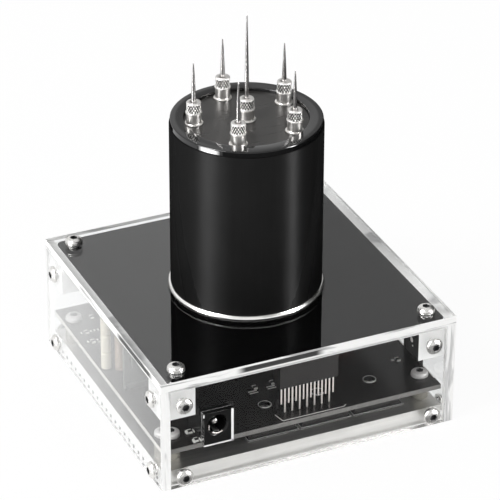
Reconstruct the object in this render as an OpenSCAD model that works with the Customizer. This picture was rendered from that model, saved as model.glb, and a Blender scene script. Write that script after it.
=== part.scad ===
/* [Case plates] */
// Width of the case along the front
case_w = 100; // [92:0.5:120]
// Depth of the case, front face to back face
case_d = 97; // [94:0.5:116]
// Thickness of every clear plate
plate_t = 3; // [2.5:0.1:4]
// Height of the front and back plates
wall_h = 35; // [33:0.5:50]
// Thickness of the black panel under the top plate
panel_t = 0.7; // [0.5:0.1:1.2]
// Gap between the black panel and the side plates
panel_gap = 0.1; // [0.05:0.05:0.4]
// How far the black panel stops short of the front and back faces
panel_margin = 1.5; // [1:0.1:2.4]
// Corner radius of the black panel
panel_corner_r = 2; // [0.5:0.1:3]

/* [Corner blocks] */
// Extra width of each corner block past what its screws need
block_spare = 0.1; // [0.1:0.1:3]
// Height of each corner block
block_h = 11; // [9:0.1:14]

/* [Case screws] */
// Thread diameter of the case and board screws
screw_d = 3; // [2.5:0.1:3.2]
// Length of the case screws under the head
screw_len = 6; // [5.5:0.1:6.5]
// Diameter of the button heads
head_d = 5.5; // [5:0.1:6]
// Height of the button heads
head_h = 1.65; // [1.2:0.05:2]
// Distance across the flats of the hexagon sockets
socket_af = 2; // [1.5:0.1:2.2]
// Depth of the hexagon sockets
socket_depth = 1; // [0.6:0.1:1.2]
// Clearance all round a screw in a drilled plate
screw_clear = 0.2; // [0.1:0.05:0.3]
// Clearance all round a screw in its tapped hole
thread_clear = 0.05; // [0.02:0.01:0.1]
// Thickness of the washers
washer_t = 0.6; // [0.4:0.1:1]
// Outside diameter of the washers
washer_d = 5.6; // [5.2:0.1:6]

/* [Heat sink] */
// Thickness of the heat sink's base
sink_base_t = 4; // [3.6:0.1:5]
// Height of the fins under the base
fin_h = 1.6; // [1:0.1:3]
// Thickness of one fin
fin_t = 2.4; // [1:0.1:2.8]
// Number of fins
fin_n = 24; // [12:1:26]
// Gap between the heat sink and the plates round it
sink_gap = 0.3; // [0.1:0.05:0.5]

/* [Circuit board] */
// Thickness of the circuit board
board_t = 1.6; // [1.2:0.1:2]
// Gap between the circuit board and the front and back plates
board_gap = 0.3; // [0.2:0.05:0.5]
// Gap between the circuit board and the side plates
board_side_gap = 0.5; // [0.3:0.05:0.7]
// Height of the standoffs under the board
standoff_h = 6; // [5.8:0.1:8]
// Outside diameter of the standoffs
standoff_d = 5.6; // [5:0.1:6.5]
// Distance of the board screws from the board's side edges
board_hole_in_x = 3.7; // [3.4:0.1:5]
// Distance of the board screws from the board's front and back edges
board_hole_in_y = 7.7; // [7:0.1:9]

/* [Power socket] */
// Width of the power socket
jack_w = 9; // [8:0.1:10]
// Height of the power socket
jack_h = 11; // [10:0.1:12]
// Length of the power socket
jack_len = 14.2; // [13:0.1:15]
// Diameter of the hole that takes the plug
jack_bore_d = 6.3; // [5.8:0.1:6.6]
// Depth of the hole that takes the plug
jack_bore_len = 9.5; // [8:0.1:10]
// Diameter of the centre pin
jack_pin_d = 2; // [1.6:0.1:2.5]
// Distance of the socket's centre from the left face of the case
jack_x = 18.8; // [17.5:0.1:24]
// Gap between the power socket and its opening in the front plate
jack_gap = 0.3; // [0.2:0.05:0.6]

/* [Power parts] */
// Width of one power transistor
transistor_w = 15.9; // [14:0.1:16.5]
// Length of one power transistor's body
transistor_l = 20.8; // [18:0.1:22]
// Thickness of one power transistor
transistor_t = 5; // [4.4:0.1:5.1]
// Spacing of the power transistors
transistor_pitch = 18.2; // [17.6:0.1:19]
// Thickness of the insulating pads
pad_t = 0.3; // [0.2:0.05:0.4]
// Width of the power chip
chip_w = 20; // [18.5:0.1:24]
// Height of the power chip's body
chip_h = 10.7; // [8:0.1:11]
// Thickness of the power chip's body
chip_t = 4.6; // [3.6:0.1:5]
// Number of leads on the power chip
lead_n = 15; // [5:2:15]
// Spacing of the power chip's leads
lead_pitch = 1.27; // [1.1:0.01:1.3]

/* [Coil] */
// Outside diameter of the black sleeve
sleeve_d = 48.2; // [48:0.1:54]
// Wall of the black sleeve
sleeve_wall = 2; // [1.2:0.1:2.1]
// Height of the black sleeve
sleeve_h = 55.4; // [46:0.2:80]
// How far the bright ring stands out past the sleeve
ring_lip = 0.75; // [0.3:0.05:3]
// Height of the bright ring
ring_h = 1.05; // [0.8:0.05:2]
// Offset of the coil from the middle of the case, to the right
coil_x = -0.9; // [-3:0.1:3]
// Offset of the coil from the middle of the case, to the back
coil_y = -1.7; // [-3:0.1:3]
// Radial gap round each end lead of the secondary winding
coil_gap = 0.1; // [0.05:0.05:2]
// Wall of the secondary coil's tube
former_wall = 1.5; // [1:0.1:2]
// Thickness of the secondary winding
winding_t = 0.35; // [0.2:0.05:0.4]
// Bare length of the tube above the secondary winding
winding_high = 1.85; // [1:0.05:12]
// Diameter of the primary wire
primary_wire_d = 0.8; // [0.6:0.05:0.9]
// Number of turns of the primary winding
primary_turns = 6; // [3:1:8]
// Rise of the primary winding over one turn
primary_pitch = 1.5; // [1.4:0.05:1.8]

/* [Cap and electrodes] */
// Height of the cap above the sleeve
cap_h = 2; // [1.5:0.1:4]
// Depth of the round recess in the cap
recess_depth = 1; // [0.4:0.1:1.2]
// Width of the cap's rim round the recess
rim_w = 4.65; // [3.5:0.05:8]
// How far the cap's edge is rounded inward
cap_round = 0.6; // [0.2:0.1:1]
// Gap between the side electrodes' flanges and the cap's rim
flange_gap = 0.05; // [0.05:0.05:4]
// Angle of the first side electrode from the right
electrode_angle = 165; // [0:1:360]
// Diameter of the smooth electrode holders
holder_d = 4.7; // [4:0.1:5.2]
// Height of the smooth electrode holders
holder_h = 3.7; // [3:0.1:5]
// Diameter of the thin flange under each holder
flange_d = 5.8; // [5.2:0.1:5.8]
// Thickness of the flange under each holder
flange_t = 0.35; // [0.2:0.05:0.6]
// Diameter of the knurled nuts
nut_d = 4.6; // [4.2:0.1:5]
// Height of the knurled nuts
nut_h = 3.7; // [3.4:0.1:5.5]
// Diameter of the needles' shanks
needle_d = 1.5; // [1:0.1:1.6]
// Height of a side needle above its nut
side_needle_h = 13.7; // [8:0.1:20]
// Height of the centre needle above its nut
centre_needle_h = 29.1; // [20:0.1:36]
// Width of the needles' blunt tips
tip_d = 0.24; // [0.1:0.02:0.4]
// Running clearance all round a needle and all round a nut's thread
running_clear = 0.05; // [0.02:0.01:0.1]

/* [Hidden] */

// Smoothness of round parts, and how far cuts run past what they cut
$fn = 64;
cut = 1;

// Levels from the table up
sink_top = fin_h + sink_base_t;
board_bottom = sink_top + standoff_h;
board_top = board_bottom + board_t;
panel_top = wall_h + panel_t;
case_h = panel_top + plate_t;

// Room for tall parts between the board and the black panel
part_room = wall_h - board_top;

// Insides of the case
inner_w = case_w - 2 * plate_t;
inner_d = case_d - 2 * plate_t;
front_y = -case_d / 2;
left_x = -case_w / 2;

// Places of the screws; a front screw and a side screw just miss each other inside a block
screw_bite = screw_len - plate_t;
block_w = 2 * screw_bite + screw_d + block_spare;
block_x = inner_w / 2 - block_w / 2;
block_y = inner_d / 2 - block_w / 2;
block_screw_z = wall_h - block_h / 2;
sink_screw_z = fin_h + sink_base_t / 2;
tapped_r = screw_d / 2 + thread_clear;
drilled_r = screw_d / 2 + screw_clear;
top_screw_inset = 1.4;
top_screw_x = block_x;
top_screw_y = block_y + top_screw_inset;
top_screw_len = screw_len;
tap_spare = 0.5;
// Outline of a button head, as shares of its radius and height
head_shares = [[1, 0], [1, 0.2], [0.92, 0.55], [0.78, 0.85], [0.6, 1]];

// Heat sink
sink_w = inner_w - 2 * sink_gap;
sink_d = inner_d - 2 * sink_gap;
fin_pitch = (sink_d - fin_t) / (fin_n - 1);

// Board outline and its screws
board_w = inner_w - 2 * board_side_gap;
board_d = inner_d - 2 * board_gap;
board_hole_x = board_w / 2 - board_hole_in_x;
board_hole_y = board_d / 2 - board_hole_in_y;
board_tap_end = 0.2;
board_screw_len = washer_t + board_t + standoff_h + sink_base_t - board_tap_end;

// Power socket
jack_cx = left_x + jack_x;
jack_reach = 0.2;
jack_front = front_y + jack_reach;
jack_axis_share = 0.57;
jack_axis_z = board_top + jack_h * jack_axis_share;
jack_chamfer = 0.6;
jack_spring_w = 2.6;
jack_spring_t = 0.3;
jack_spring_len = 6;
jack_spring_gap = 0.2;
jack_tail_w = 2;
jack_tail_t = 0.4;

// Power chip: its leads stand in one plane, and every other one steps to the back
chip_x_share = 0.0495;
chip_x = board_w / 2 * chip_x_share;
chip_in_y = 5.7;
chip_y = front_y + plate_t + chip_in_y;
chip_under = 1.7;
chip_z = board_top + part_room - chip_under - chip_h;
lead_w = 0.7;
lead_t = 0.5;
lead_step_y = 2.54;
lead_step_z = 3;
solder_h = 0.5;
chip_front_share = 0.3;

// Power transistors on the heat sink
transistor_n = 3;
transistor_in_x = 19.4;
transistor_x = board_w / 2 - transistor_in_x - (transistor_n - 1) * transistor_pitch;
transistor_in_y = 6;
transistor_front = front_y + plate_t + transistor_in_y;
transistor_hole_in = 6;
transistor_hole_y = transistor_front + transistor_hole_in;
transistor_top = sink_top + pad_t + transistor_t;
transistor_lead_pitch = 5.45;
transistor_lead_w = 1.2;
transistor_lead_t = 0.6;
transistor_lead_run = 3.4;
transistor_lead_y = transistor_front + transistor_l + transistor_lead_run;
transistor_lead_z = sink_top + pad_t + transistor_t / 2;
pad_over = 0.8;
access_r = 2.9;
power_head_d = 4.8;
power_head_h = 1.4;

// Upright boards and tall parts on the circuit board
upright_t = 1.2;
receiver_w = 11.4;
receiver_under = 5.8;
receiver_h = part_room - receiver_under;
receiver_in_x = 0.6;
receiver_in_y = 11.7;
receiver_part = 1.1;
receiver_part_t = 0.8;
receiver_part_n = 3;
module_w = 9.6;
module_under = 6.8;
module_h = part_room - module_under;
module_in_x = 3;
module_y_share = -0.177;
module_y = board_d / 2 * module_y_share;
module_chip_w = 5;
module_chip_h = 4;
module_chip_t = 1.4;
antenna_d = 0.9;
antenna_in_x = 2.2;
antenna_y_share = 0.1195;
antenna_y = board_d / 2 * antenna_y_share;
antenna_over = 1.2;
antenna_under = 1.7;
bead_d = 3.3;
bead_n = 3;
bead_gap = 0.1;
bead_clear = 0.05;
bead_h = (part_room - antenna_under - antenna_over) / bead_n - bead_gap;
choke_d = 2.6;
choke_h = part_room - module_under;
choke_wind_t = 0.45;
choke_flange_h = 1;
choke_wind_gap = 1;
choke_in_x = 6.3;
choke_y_share = 0.08;
electrolytic_d = 8;
electrolytic_under = 9.8;
electrolytic_h = part_room - electrolytic_under;
electrolytic_x_share = -0.5376;
electrolytic_y_share = 0.133;
electrolytic_pitch = 10;
electrolytic_top_r = 0.5;
film_w = 13;
film_t = 5;
film_under = 10.8;
film_h = part_room - film_under;
film_x_share = 0.645;
film_y_share = 0;
film_pitch = 7;
film_n = 3;
soic_w = 5;
soic_d = 4;
soic_t = 1.5;
soic_foot_w = 0.5;
soic_foot_l = 1;
soic_foot_t = 0.25;
soic_foot_n = 4;
soic_pitch = 1.27;
resistor_l = 2;
resistor_w = 1.25;
resistor_t = 0.6;
// Places of the small surface parts, as shares of the board's half width and half depth
soic_place_shares = [[-0.26, 0.73], [0.17, 0.73], [0.52, 0.73]];
resistor_place_shares = [[-0.9075, 0.615], [-0.912, 0.478], [-0.869, 0.429], [-0.8, 0.796],
    [-0.176, -0.52], [-0.043, -0.509], [0.869, -0.593], [-0.43, 0.73], [0.344, 0.73], [0.688, 0.73]];
// Two more of them stand beside the power socket
socket_part_y = 4.8;
socket_part_pitch = 5;

// Coil: levels, and radii from the sleeve inward
ring_top = case_h + ring_h;
sleeve_top = ring_top + sleeve_h;
cap_top = sleeve_top + cap_h;
sleeve_in_r = sleeve_d / 2 - sleeve_wall;
sleeve_clear = 0.1;
base_r = sleeve_in_r - 2 * sleeve_clear;
ring_in_r = sleeve_in_r - sleeve_clear;
base_h = 5;
boss_h = 4;
base_top = case_h + base_h;
lead_wire_r = 0.25;
winding_gap = 0.05;
primary_edge = 0.4;
primary_wall = 0.8;
primary_lead_gap = 0.45;
// The wire runs straight from ring to ring, so it needs this much room round its tube
primary_seat_gap = 0.25;
primary_out_r = base_r - primary_edge - primary_wire_d / 2;
primary_r = primary_out_r - primary_wire_d - primary_lead_gap;
primary_in_r = primary_r - primary_wire_d / 2 - primary_seat_gap - primary_wall;
secondary_lead_r = primary_in_r - coil_gap - winding_gap - lead_wire_r;
winding_r = secondary_lead_r - lead_wire_r - winding_gap;
former_r = winding_r - winding_t - winding_gap;
former_in_r = former_r - former_wall;
boss_r = former_in_r - sleeve_clear;
cap_inner_depth = 5;
former_drop = 0.6;
former_top = sleeve_top - cap_inner_depth - former_drop;
winding_low = 4;
winding_h = former_top - base_top - winding_low - winding_high;
primary_former_h = 16;
primary_low = 2.4;
lead_hole_clear = 0.15;
primary_start = 100;
primary_bend_steps = 4;
primary_steps = 24;
primary_drop_steps = 24;
primary_sides = 6;
// Radius of the wire's bends, and the angle over which it steps outward to its way down
primary_bend_r = 1.5;
primary_over = 12;
primary_helix_start = primary_start + bend_angle(primary_r);
primary_helix_end = primary_helix_start + 360 * primary_turns;
primary_end = primary_helix_end + primary_over + bend_angle(primary_out_r);
primary_z = case_h + base_h + primary_low;
primary_high_z = primary_z + primary_turns * primary_pitch;
secondary_angle = 60;
coil_screw_r = 10;
coil_screw_n = 3;
coil_screw_turn = 30;
coil_screw_len = 8;

// Cap, disc and the plate under it
cap_floor_t = 2;
cap_spigot_wall = 2;
cap_spigot_r = ring_in_r;
disc_gap = 0.1;
disc_t = 1;
disc_top = cap_top - recess_depth;
disc_bottom = disc_top - disc_t;
floor_bottom = disc_bottom - cap_floor_t;
contact_t = 0.8;
contact_bottom = floor_bottom - contact_t;
stud_r = 1;
stud_clear = 0.1;
stud_nut_af = 4;
stud_nut_h = 1.6;
stud_over = 0.4;
contact_over = 0.3;
recess_r = sleeve_d / 2 - rim_w;
electrode_r = recess_r - flange_d / 2 - flange_gap;
contact_r = electrode_r + stud_nut_af / 2 + contact_over;

// Holders, knurled nuts and needles
holder_top = disc_top + holder_h;
spigot_r = 1.5;
spigot_h = 2.6;
spigot_slit = 0.3;
bore_r = needle_d / 2 + running_clear;
needle_low = 1.2;
needle_foot = disc_top + needle_low;
nut_foot = holder_top;
nut_top = nut_foot + nut_h;
nut_well_gap = 0.2;
nut_well_h = spigot_h + nut_well_gap;
nut_lip = 0.3;
nut_lip_h = 0.45;
nut_crown_share = 0.9;
nut_crown_h = 0.5;
nut_mouth_r = 1.25;
nut_mouth_h = 0.45;
electrode_n = 5;
needle_waist_share = 0.55;
needle_waist_r_share = 0.62;

// Angle of each side electrode round the coil
function side_angle(i) = electrode_angle + i * 360 / electrode_n;

// Middle of each power transistor, and the row and foot of each chip lead
function transistor_cx(i) = transistor_x + i * transistor_pitch;
function lead_x(i) = chip_x + (i - (lead_n - 1) / 2) * lead_pitch;
function lead_foot_y(i) = i % 2 == 0 ? chip_y + lead_step_y : chip_y;

// Angle round the coil that one bend of the primary wire covers
function bend_angle(r) = primary_bend_r / r * 180 / PI;

module at_coil() {
    translate([coil_x, coil_y, 0]) children();
}

module at_electrode(i) {
    a = side_angle(i);
    at_coil() translate([electrode_r * cos(a), electrode_r * sin(a), 0]) children();
}

module at_every_electrode() {
    at_coil() children();
    for (i = [0 : electrode_n - 1]) at_electrode(i) children();
}

module at_corners(x, y) {
    for (sx = [-1, 1], sy = [-1, 1]) translate([sx * x, sy * y, 0]) children();
}

// A box whose middle is at x and y and whose foot is at z
module box_on(x, y, z, w, d, h) {
    translate([x - w / 2, y - d / 2, z]) cube([w, d, h]);
}

module rounded_square(w, d, r) {
    union() {
        square([w - 2 * r, d], center = true);
        square([w, d - 2 * r], center = true);
        for (sx = [-1, 1], sy = [-1, 1]) translate([sx * (w / 2 - r), sy * (d / 2 - r)]) circle(r);
    }
}

// A button-head screw: the head sits above z = 0 and the thread hangs below
module button_screw(len, hd = head_d, hh = head_h) {
    difference() {
        union() {
            rotate_extrude()
                polygon(concat([[0, 0]], [for (p = head_shares) [p[0] * hd / 2, p[1] * hh]], [[0, hh]]));
            translate([0, 0, -len]) cylinder(h = len + hh / 2, d = screw_d);
        }
        translate([0, 0, hh - socket_depth])
            cylinder(h = socket_depth + cut, d = socket_af / cos(30), $fn = 6);
    }
}

module washer(t, d) {
    difference() {
        cylinder(h = t, d = d);
        translate([0, 0, -cut]) cylinder(h = t + 2 * cut, r = tapped_r);
    }
}

// Holes along Z through a level plate or board
module holes_z(x, y, z, h, r) {
    at_corners(x, y) translate([0, 0, z - cut]) cylinder(h = h + 2 * cut, r = r);
}

// The holes through which the coil's wires and screws pass
module coil_passages(z, h, r_screw) {
    at_coil() {
        for (i = [0 : coil_screw_n - 1])
            rotate(coil_screw_turn + i * 360 / coil_screw_n)
                translate([coil_screw_r, 0, z - cut]) cylinder(h = h + 2 * cut, r = r_screw);
        wire_holes(z, h);
    }
}

module wire_holes(z, h) {
    rotate(primary_start) translate([primary_r, 0, z - cut])
        cylinder(h = h + 2 * cut, r = primary_wire_d / 2 + lead_hole_clear);
    rotate(primary_end) translate([primary_out_r, 0, z - cut])
        cylinder(h = h + 2 * cut, r = primary_wire_d / 2 + lead_hole_clear);
    rotate(secondary_angle) translate([secondary_lead_r, 0, z - cut])
        cylinder(h = h + 2 * cut, r = lead_wire_r + lead_hole_clear);
}

// Clear plates and the black panel
module top_plate() {
    color([0.9, 0.95, 0.97, 0.35]) difference() {
        translate([left_x, front_y, panel_top]) cube([case_w, case_d, plate_t]);
        holes_z(top_screw_x, top_screw_y, panel_top, plate_t, drilled_r);
        coil_passages(panel_top, plate_t, drilled_r);
    }
}

module top_panel() {
    color([0.06, 0.06, 0.06]) difference() {
        translate([0, 0, wall_h]) linear_extrude(panel_t)
            rounded_square(inner_w - 2 * panel_gap, case_d - 2 * panel_margin, panel_corner_r);
        holes_z(top_screw_x, top_screw_y, wall_h, panel_t, drilled_r);
        coil_passages(wall_h, panel_t, drilled_r);
    }
}

// A side plate at x, drilled for its screws
module side_plate(x) {
    color([0.9, 0.95, 0.97, 0.35]) difference() {
        translate([x, front_y, 0]) cube([plate_t, case_d, panel_top]);
        for (sy = [-1, 1], z = [sink_screw_z, block_screw_z])
            translate([x - cut, sy * block_y, z]) rotate([0, 90, 0])
                cylinder(h = plate_t + 2 * cut, r = drilled_r);
    }
}

module left_plate() {
    side_plate(left_x);
}

module right_plate() {
    side_plate(-left_x - plate_t);
}

// A front or back plate whose outer or inner face lies at y
module end_plate(y) {
    color([0.9, 0.95, 0.97, 0.35]) difference() {
        translate([-inner_w / 2, y, 0]) cube([inner_w, plate_t, wall_h]);
        for (sx = [-1, 1], z = [sink_screw_z, block_screw_z])
            translate([sx * block_x, y - cut, z]) rotate([-90, 0, 0])
                cylinder(h = plate_t + 2 * cut, r = drilled_r);
        children();
    }
}

module front_plate() {
    end_plate(front_y)
        translate([jack_cx - jack_w / 2 - jack_gap, front_y - cut, board_top - jack_gap])
            cube([jack_w + 2 * jack_gap, plate_t + 2 * cut, jack_h + 2 * jack_gap]);
}

module back_plate() {
    end_plate(-front_y - plate_t);
}

module corner_blocks() {
    color("white") difference() {
        at_corners(block_x, block_y)
            translate([-block_w / 2, -block_w / 2, wall_h - block_h])
                cube([block_w, block_w, block_h]);
        block_taps();
    }
}

// Tapped holes for the case screws, blind by a little more than the screws reach
module block_taps() {
    depth = screw_bite + tap_spare;
    for (sx = [-1, 1], sy = [-1, 1]) {
        translate([sx * block_x, sy * (inner_d / 2 + cut), block_screw_z])
            rotate([sy * 90, 0, 0]) cylinder(h = depth + cut, r = tapped_r);
        translate([sx * (inner_w / 2 + cut), sy * block_y, block_screw_z])
            rotate([0, -sx * 90, 0]) cylinder(h = depth + cut, r = tapped_r);
        translate([sx * top_screw_x, sy * top_screw_y, case_h - top_screw_len - tap_spare])
            cylinder(h = top_screw_len + tap_spare, r = tapped_r);
    }
}

// Case screws
module top_screws() {
    color([0.8, 0.8, 0.8]) at_corners(top_screw_x, top_screw_y) {
        translate([0, 0, case_h]) washer(washer_t, washer_d);
        translate([0, 0, case_h + washer_t]) button_screw(top_screw_len);
    }
}

module front_screws() {
    color([0.8, 0.8, 0.8]) for (sx = [-1, 1], z = [sink_screw_z, block_screw_z])
        translate([sx * block_x, front_y, z]) rotate([90, 0, 0]) button_screw(screw_len);
}

module back_screws() {
    color([0.8, 0.8, 0.8]) for (sx = [-1, 1], z = [sink_screw_z, block_screw_z])
        translate([sx * block_x, -front_y, z]) rotate([-90, 0, 0]) button_screw(screw_len);
}

module side_screws(side) {
    color([0.8, 0.8, 0.8]) for (sy = [-1, 1], z = [sink_screw_z, block_screw_z])
        translate([-side * left_x, sy * block_y, z]) rotate([0, side * 90, 0])
            button_screw(screw_len);
}

module left_screws() {
    side_screws(-1);
}

module right_screws() {
    side_screws(1);
}

// Heat sink: a thick base with fins under it that run from side to side
module heat_sink() {
    depth = screw_bite + tap_spare;
    color([0.78, 0.79, 0.8]) difference() {
        union() {
            translate([-sink_w / 2, -sink_d / 2, fin_h]) cube([sink_w, sink_d, sink_base_t]);
            for (i = [0 : fin_n - 1])
                translate([-sink_w / 2, -sink_d / 2 + i * fin_pitch, 0])
                    cube([sink_w, fin_t, fin_h + sink_base_t / 2]);
        }
        for (sx = [-1, 1], sy = [-1, 1]) {
            translate([sx * block_x, sy * (inner_d / 2 + cut), sink_screw_z])
                rotate([sy * 90, 0, 0]) cylinder(h = depth + cut, r = tapped_r);
            translate([sx * (inner_w / 2 + cut), sy * block_y, sink_screw_z])
                rotate([0, -sx * 90, 0]) cylinder(h = depth + cut, r = tapped_r);
        }
        holes_z(board_hole_x, board_hole_y, 0, sink_top, tapped_r);
        for (i = [0 : transistor_n - 1]) translate([transistor_cx(i), transistor_hole_y, -cut])
            cylinder(h = sink_top + 2 * cut, r = tapped_r);
    }
}

module board_standoffs() {
    color([0.93, 0.9, 0.8]) at_corners(board_hole_x, board_hole_y)
        translate([0, 0, sink_top]) difference() {
            cylinder(h = standoff_h, d = standoff_d);
            translate([0, 0, -cut]) cylinder(h = standoff_h + 2 * cut, r = drilled_r);
        }
}

module board_screws() {
    color([0.8, 0.8, 0.8]) at_corners(board_hole_x, board_hole_y) {
        translate([0, 0, board_top]) washer(washer_t, washer_d);
        translate([0, 0, board_top + washer_t]) button_screw(board_screw_len);
    }
}

module main_board() {
    color([0.05, 0.05, 0.05]) difference() {
        translate([-board_w / 2, -board_d / 2, board_bottom]) cube([board_w, board_d, board_t]);
        holes_z(board_hole_x, board_hole_y, board_bottom, board_t, drilled_r);
        for (i = [0 : transistor_n - 1])
            translate([transistor_cx(i), transistor_hole_y, board_bottom - cut])
                cylinder(h = board_t + 2 * cut, r = access_r);
        at_coil() wire_holes(board_bottom, board_t);
        at_antenna() translate([0, 0, board_bottom - cut])
            cylinder(h = board_t + 2 * cut, r = antenna_d / 2 + bead_clear);
        for (i = [0 : transistor_n - 1], j = [-1, 0, 1])
            lead_slot(transistor_cx(i) + j * transistor_lead_pitch, transistor_lead_y,
                transistor_lead_w, transistor_lead_t);
        for (i = [0 : lead_n - 1]) lead_slot(lead_x(i), lead_foot_y(i), lead_w, lead_t);
        lead_slot(jack_cx, jack_front + jack_len + jack_tail_t / 2, jack_tail_w, jack_tail_t);
    }
}

// A slot in the board round one flat lead
module lead_slot(x, y, w, t) {
    box_on(x, y, board_bottom - cut, w + 2 * thread_clear, t + 2 * thread_clear, board_t + 2 * cut);
}

// Power socket: a square body, its plug hole, the centre pin and a side spring
module dc_jack() {
    color([0.04, 0.04, 0.04]) difference() {
        box_on(jack_cx, jack_front + jack_len / 2, board_top, jack_w, jack_len, jack_h);
        translate([jack_cx, jack_front - cut, jack_axis_z]) rotate([-90, 0, 0])
            cylinder(h = jack_bore_len + cut, d = jack_bore_d);
        translate([jack_cx, jack_front, jack_axis_z]) rotate([-90, 0, 0])
            cylinder(h = jack_chamfer, r1 = jack_bore_d / 2 + jack_chamfer, r2 = jack_bore_d / 2);
        translate([jack_cx, jack_front, jack_axis_z]) rotate([-90, 0, 0])
            cylinder(h = jack_len + cut, r = jack_pin_d / 2 + thread_clear);
        jack_spring_space(jack_spring_gap / 2);
    }
}

module jack_spring_space(grow) {
    box_on(jack_cx, jack_front + jack_bore_len / 2, jack_axis_z - jack_bore_d / 2 - grow,
        jack_spring_w + 2 * grow, jack_bore_len, jack_spring_t + 2 * grow);
}

module jack_contacts() {
    pin_back = jack_front + jack_len;
    color([0.85, 0.8, 0.7]) {
        translate([jack_cx, jack_front + jack_chamfer, jack_axis_z]) rotate([-90, 0, 0])
            cylinder(h = jack_len - jack_chamfer, d = jack_pin_d);
        box_on(jack_cx, pin_back + jack_tail_t / 2, board_bottom - solder_h, jack_tail_w,
            jack_tail_t, jack_axis_z + jack_pin_d / 2 - board_bottom + solder_h);
        box_on(jack_cx, jack_front + jack_bore_len - jack_spring_len / 2,
            jack_axis_z - jack_bore_d / 2, jack_spring_w, jack_spring_len, jack_spring_t);
    }
}

// Power chip standing on its leads
module power_chip() {
    color([0.1, 0.1, 0.1]) translate([chip_x - chip_w / 2, chip_y - chip_t * chip_front_share, chip_z])
        cube([chip_w, chip_t, chip_h]);
}

module chip_leads() {
    low = board_bottom - solder_h;
    color([0.8, 0.8, 0.78]) for (i = [0 : lead_n - 1]) {
        if (i % 2 == 0) stepped_lead(lead_x(i), low);
        else box_on(lead_x(i), chip_y, low, lead_w, lead_t, chip_z - low);
    }
}

// A lead that steps back before it goes down into the board
module stepped_lead(x, low) {
    step_z = board_top + lead_step_z;
    box_on(x, chip_y, step_z, lead_w, lead_t, chip_z - step_z);
    box_on(x, chip_y + lead_step_y / 2, step_z, lead_w, lead_step_y + lead_t, lead_t);
    box_on(x, chip_y + lead_step_y, low, lead_w, lead_t, step_z + lead_t - low);
}

// Power transistors, face down on pads on the heat sink
module insulating_pads() {
    color([0.85, 0.85, 0.87]) for (i = [0 : transistor_n - 1]) difference() {
        box_on(transistor_cx(i), transistor_front + transistor_l / 2, sink_top,
            transistor_w + 2 * pad_over, transistor_l + 2 * pad_over, pad_t);
        translate([transistor_cx(i), transistor_hole_y, sink_top - cut])
            cylinder(h = pad_t + 2 * cut, r = drilled_r);
    }
}

module transistors() {
    color([0.12, 0.12, 0.12]) for (i = [0 : transistor_n - 1]) difference() {
        box_on(transistor_cx(i), transistor_front + transistor_l / 2, sink_top + pad_t,
            transistor_w, transistor_l, transistor_t);
        translate([transistor_cx(i), transistor_hole_y, sink_top + pad_t - cut])
            cylinder(h = transistor_t + 2 * cut, r = drilled_r);
    }
}

module transistor_leads() {
    low = transistor_lead_z - transistor_lead_t / 2;
    color([0.8, 0.8, 0.78]) for (i = [0 : transistor_n - 1], j = [-1, 0, 1]) {
        x = transistor_cx(i) + j * transistor_lead_pitch;
        box_on(x, transistor_lead_y - transistor_lead_run / 2, low, transistor_lead_w,
            transistor_lead_run, transistor_lead_t);
        box_on(x, transistor_lead_y, low, transistor_lead_w, transistor_lead_t,
            board_top + solder_h - low);
    }
}

module transistor_screws() {
    color([0.8, 0.8, 0.8]) for (i = [0 : transistor_n - 1])
        translate([transistor_cx(i), transistor_hole_y, transistor_top])
            button_screw(transistor_top - fin_h, power_head_d, power_head_h);
}

// Small boards that stand on the circuit board
module receiver_board() {
    x = board_w / 2 - receiver_in_x - upright_t;
    y = front_y + plate_t + receiver_in_y;
    step_y = receiver_w / (receiver_part_n + 1);
    step_z = receiver_h / (receiver_part_n + 1);
    color([0.06, 0.06, 0.07]) {
        translate([x, y, board_top]) cube([upright_t, receiver_w, receiver_h]);
        for (k = [1 : receiver_part_n], m = [1 : receiver_part_n])
            translate([x - receiver_part_t, y + k * step_y, board_top + m * step_z])
                cube([receiver_part_t, receiver_part, receiver_part]);
    }
}

module driver_module() {
    x = -board_w / 2 + module_in_x;
    color([0.08, 0.1, 0.09]) {
        translate([x, module_y, board_top]) cube([module_w, upright_t, module_h]);
        box_on(x + module_w / 2, module_y - module_chip_t / 2, board_top + module_h / 2,
            module_chip_w, module_chip_t, module_chip_h);
        box_on(x + module_w / 2, module_y - module_chip_t / 2, board_top, module_w,
            module_chip_t, module_chip_t);
    }
}

// Pickup antenna: an upright wire inside stacked ceramic beads
module at_antenna() {
    translate([-board_w / 2 + antenna_in_x, antenna_y, 0]) children();
}

module antenna_wire() {
    low = board_bottom - solder_h;
    high = board_top + bead_n * (bead_h + bead_gap) + antenna_over;
    color([0.75, 0.55, 0.35]) at_antenna() translate([0, 0, low])
        cylinder(h = high - low, d = antenna_d);
}

module insulator_beads() {
    color([0.9, 0.87, 0.76]) at_antenna() for (k = [0 : bead_n - 1])
        translate([0, 0, board_top + k * (bead_h + bead_gap)]) difference() {
            cylinder(h = bead_h, d = bead_d);
            translate([0, 0, -cut]) cylinder(h = bead_h + 2 * cut, r = antenna_d / 2 + bead_clear);
        }
}

module choke() {
    low = choke_flange_h + choke_wind_gap;
    x = -board_w / 2 + choke_in_x;
    y = board_d / 2 * choke_y_share;
    color([0.4, 0.3, 0.2]) translate([x, y, board_top]) {
        cylinder(h = choke_h, d = choke_d);
        translate([0, 0, low]) cylinder(h = choke_h - 2 * low, r = choke_d / 2 + choke_wind_t);
        for (z = [0, choke_h - choke_flange_h]) translate([0, 0, z])
            cylinder(h = choke_flange_h, r = choke_d / 2 + choke_wind_t);
    }
}

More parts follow.
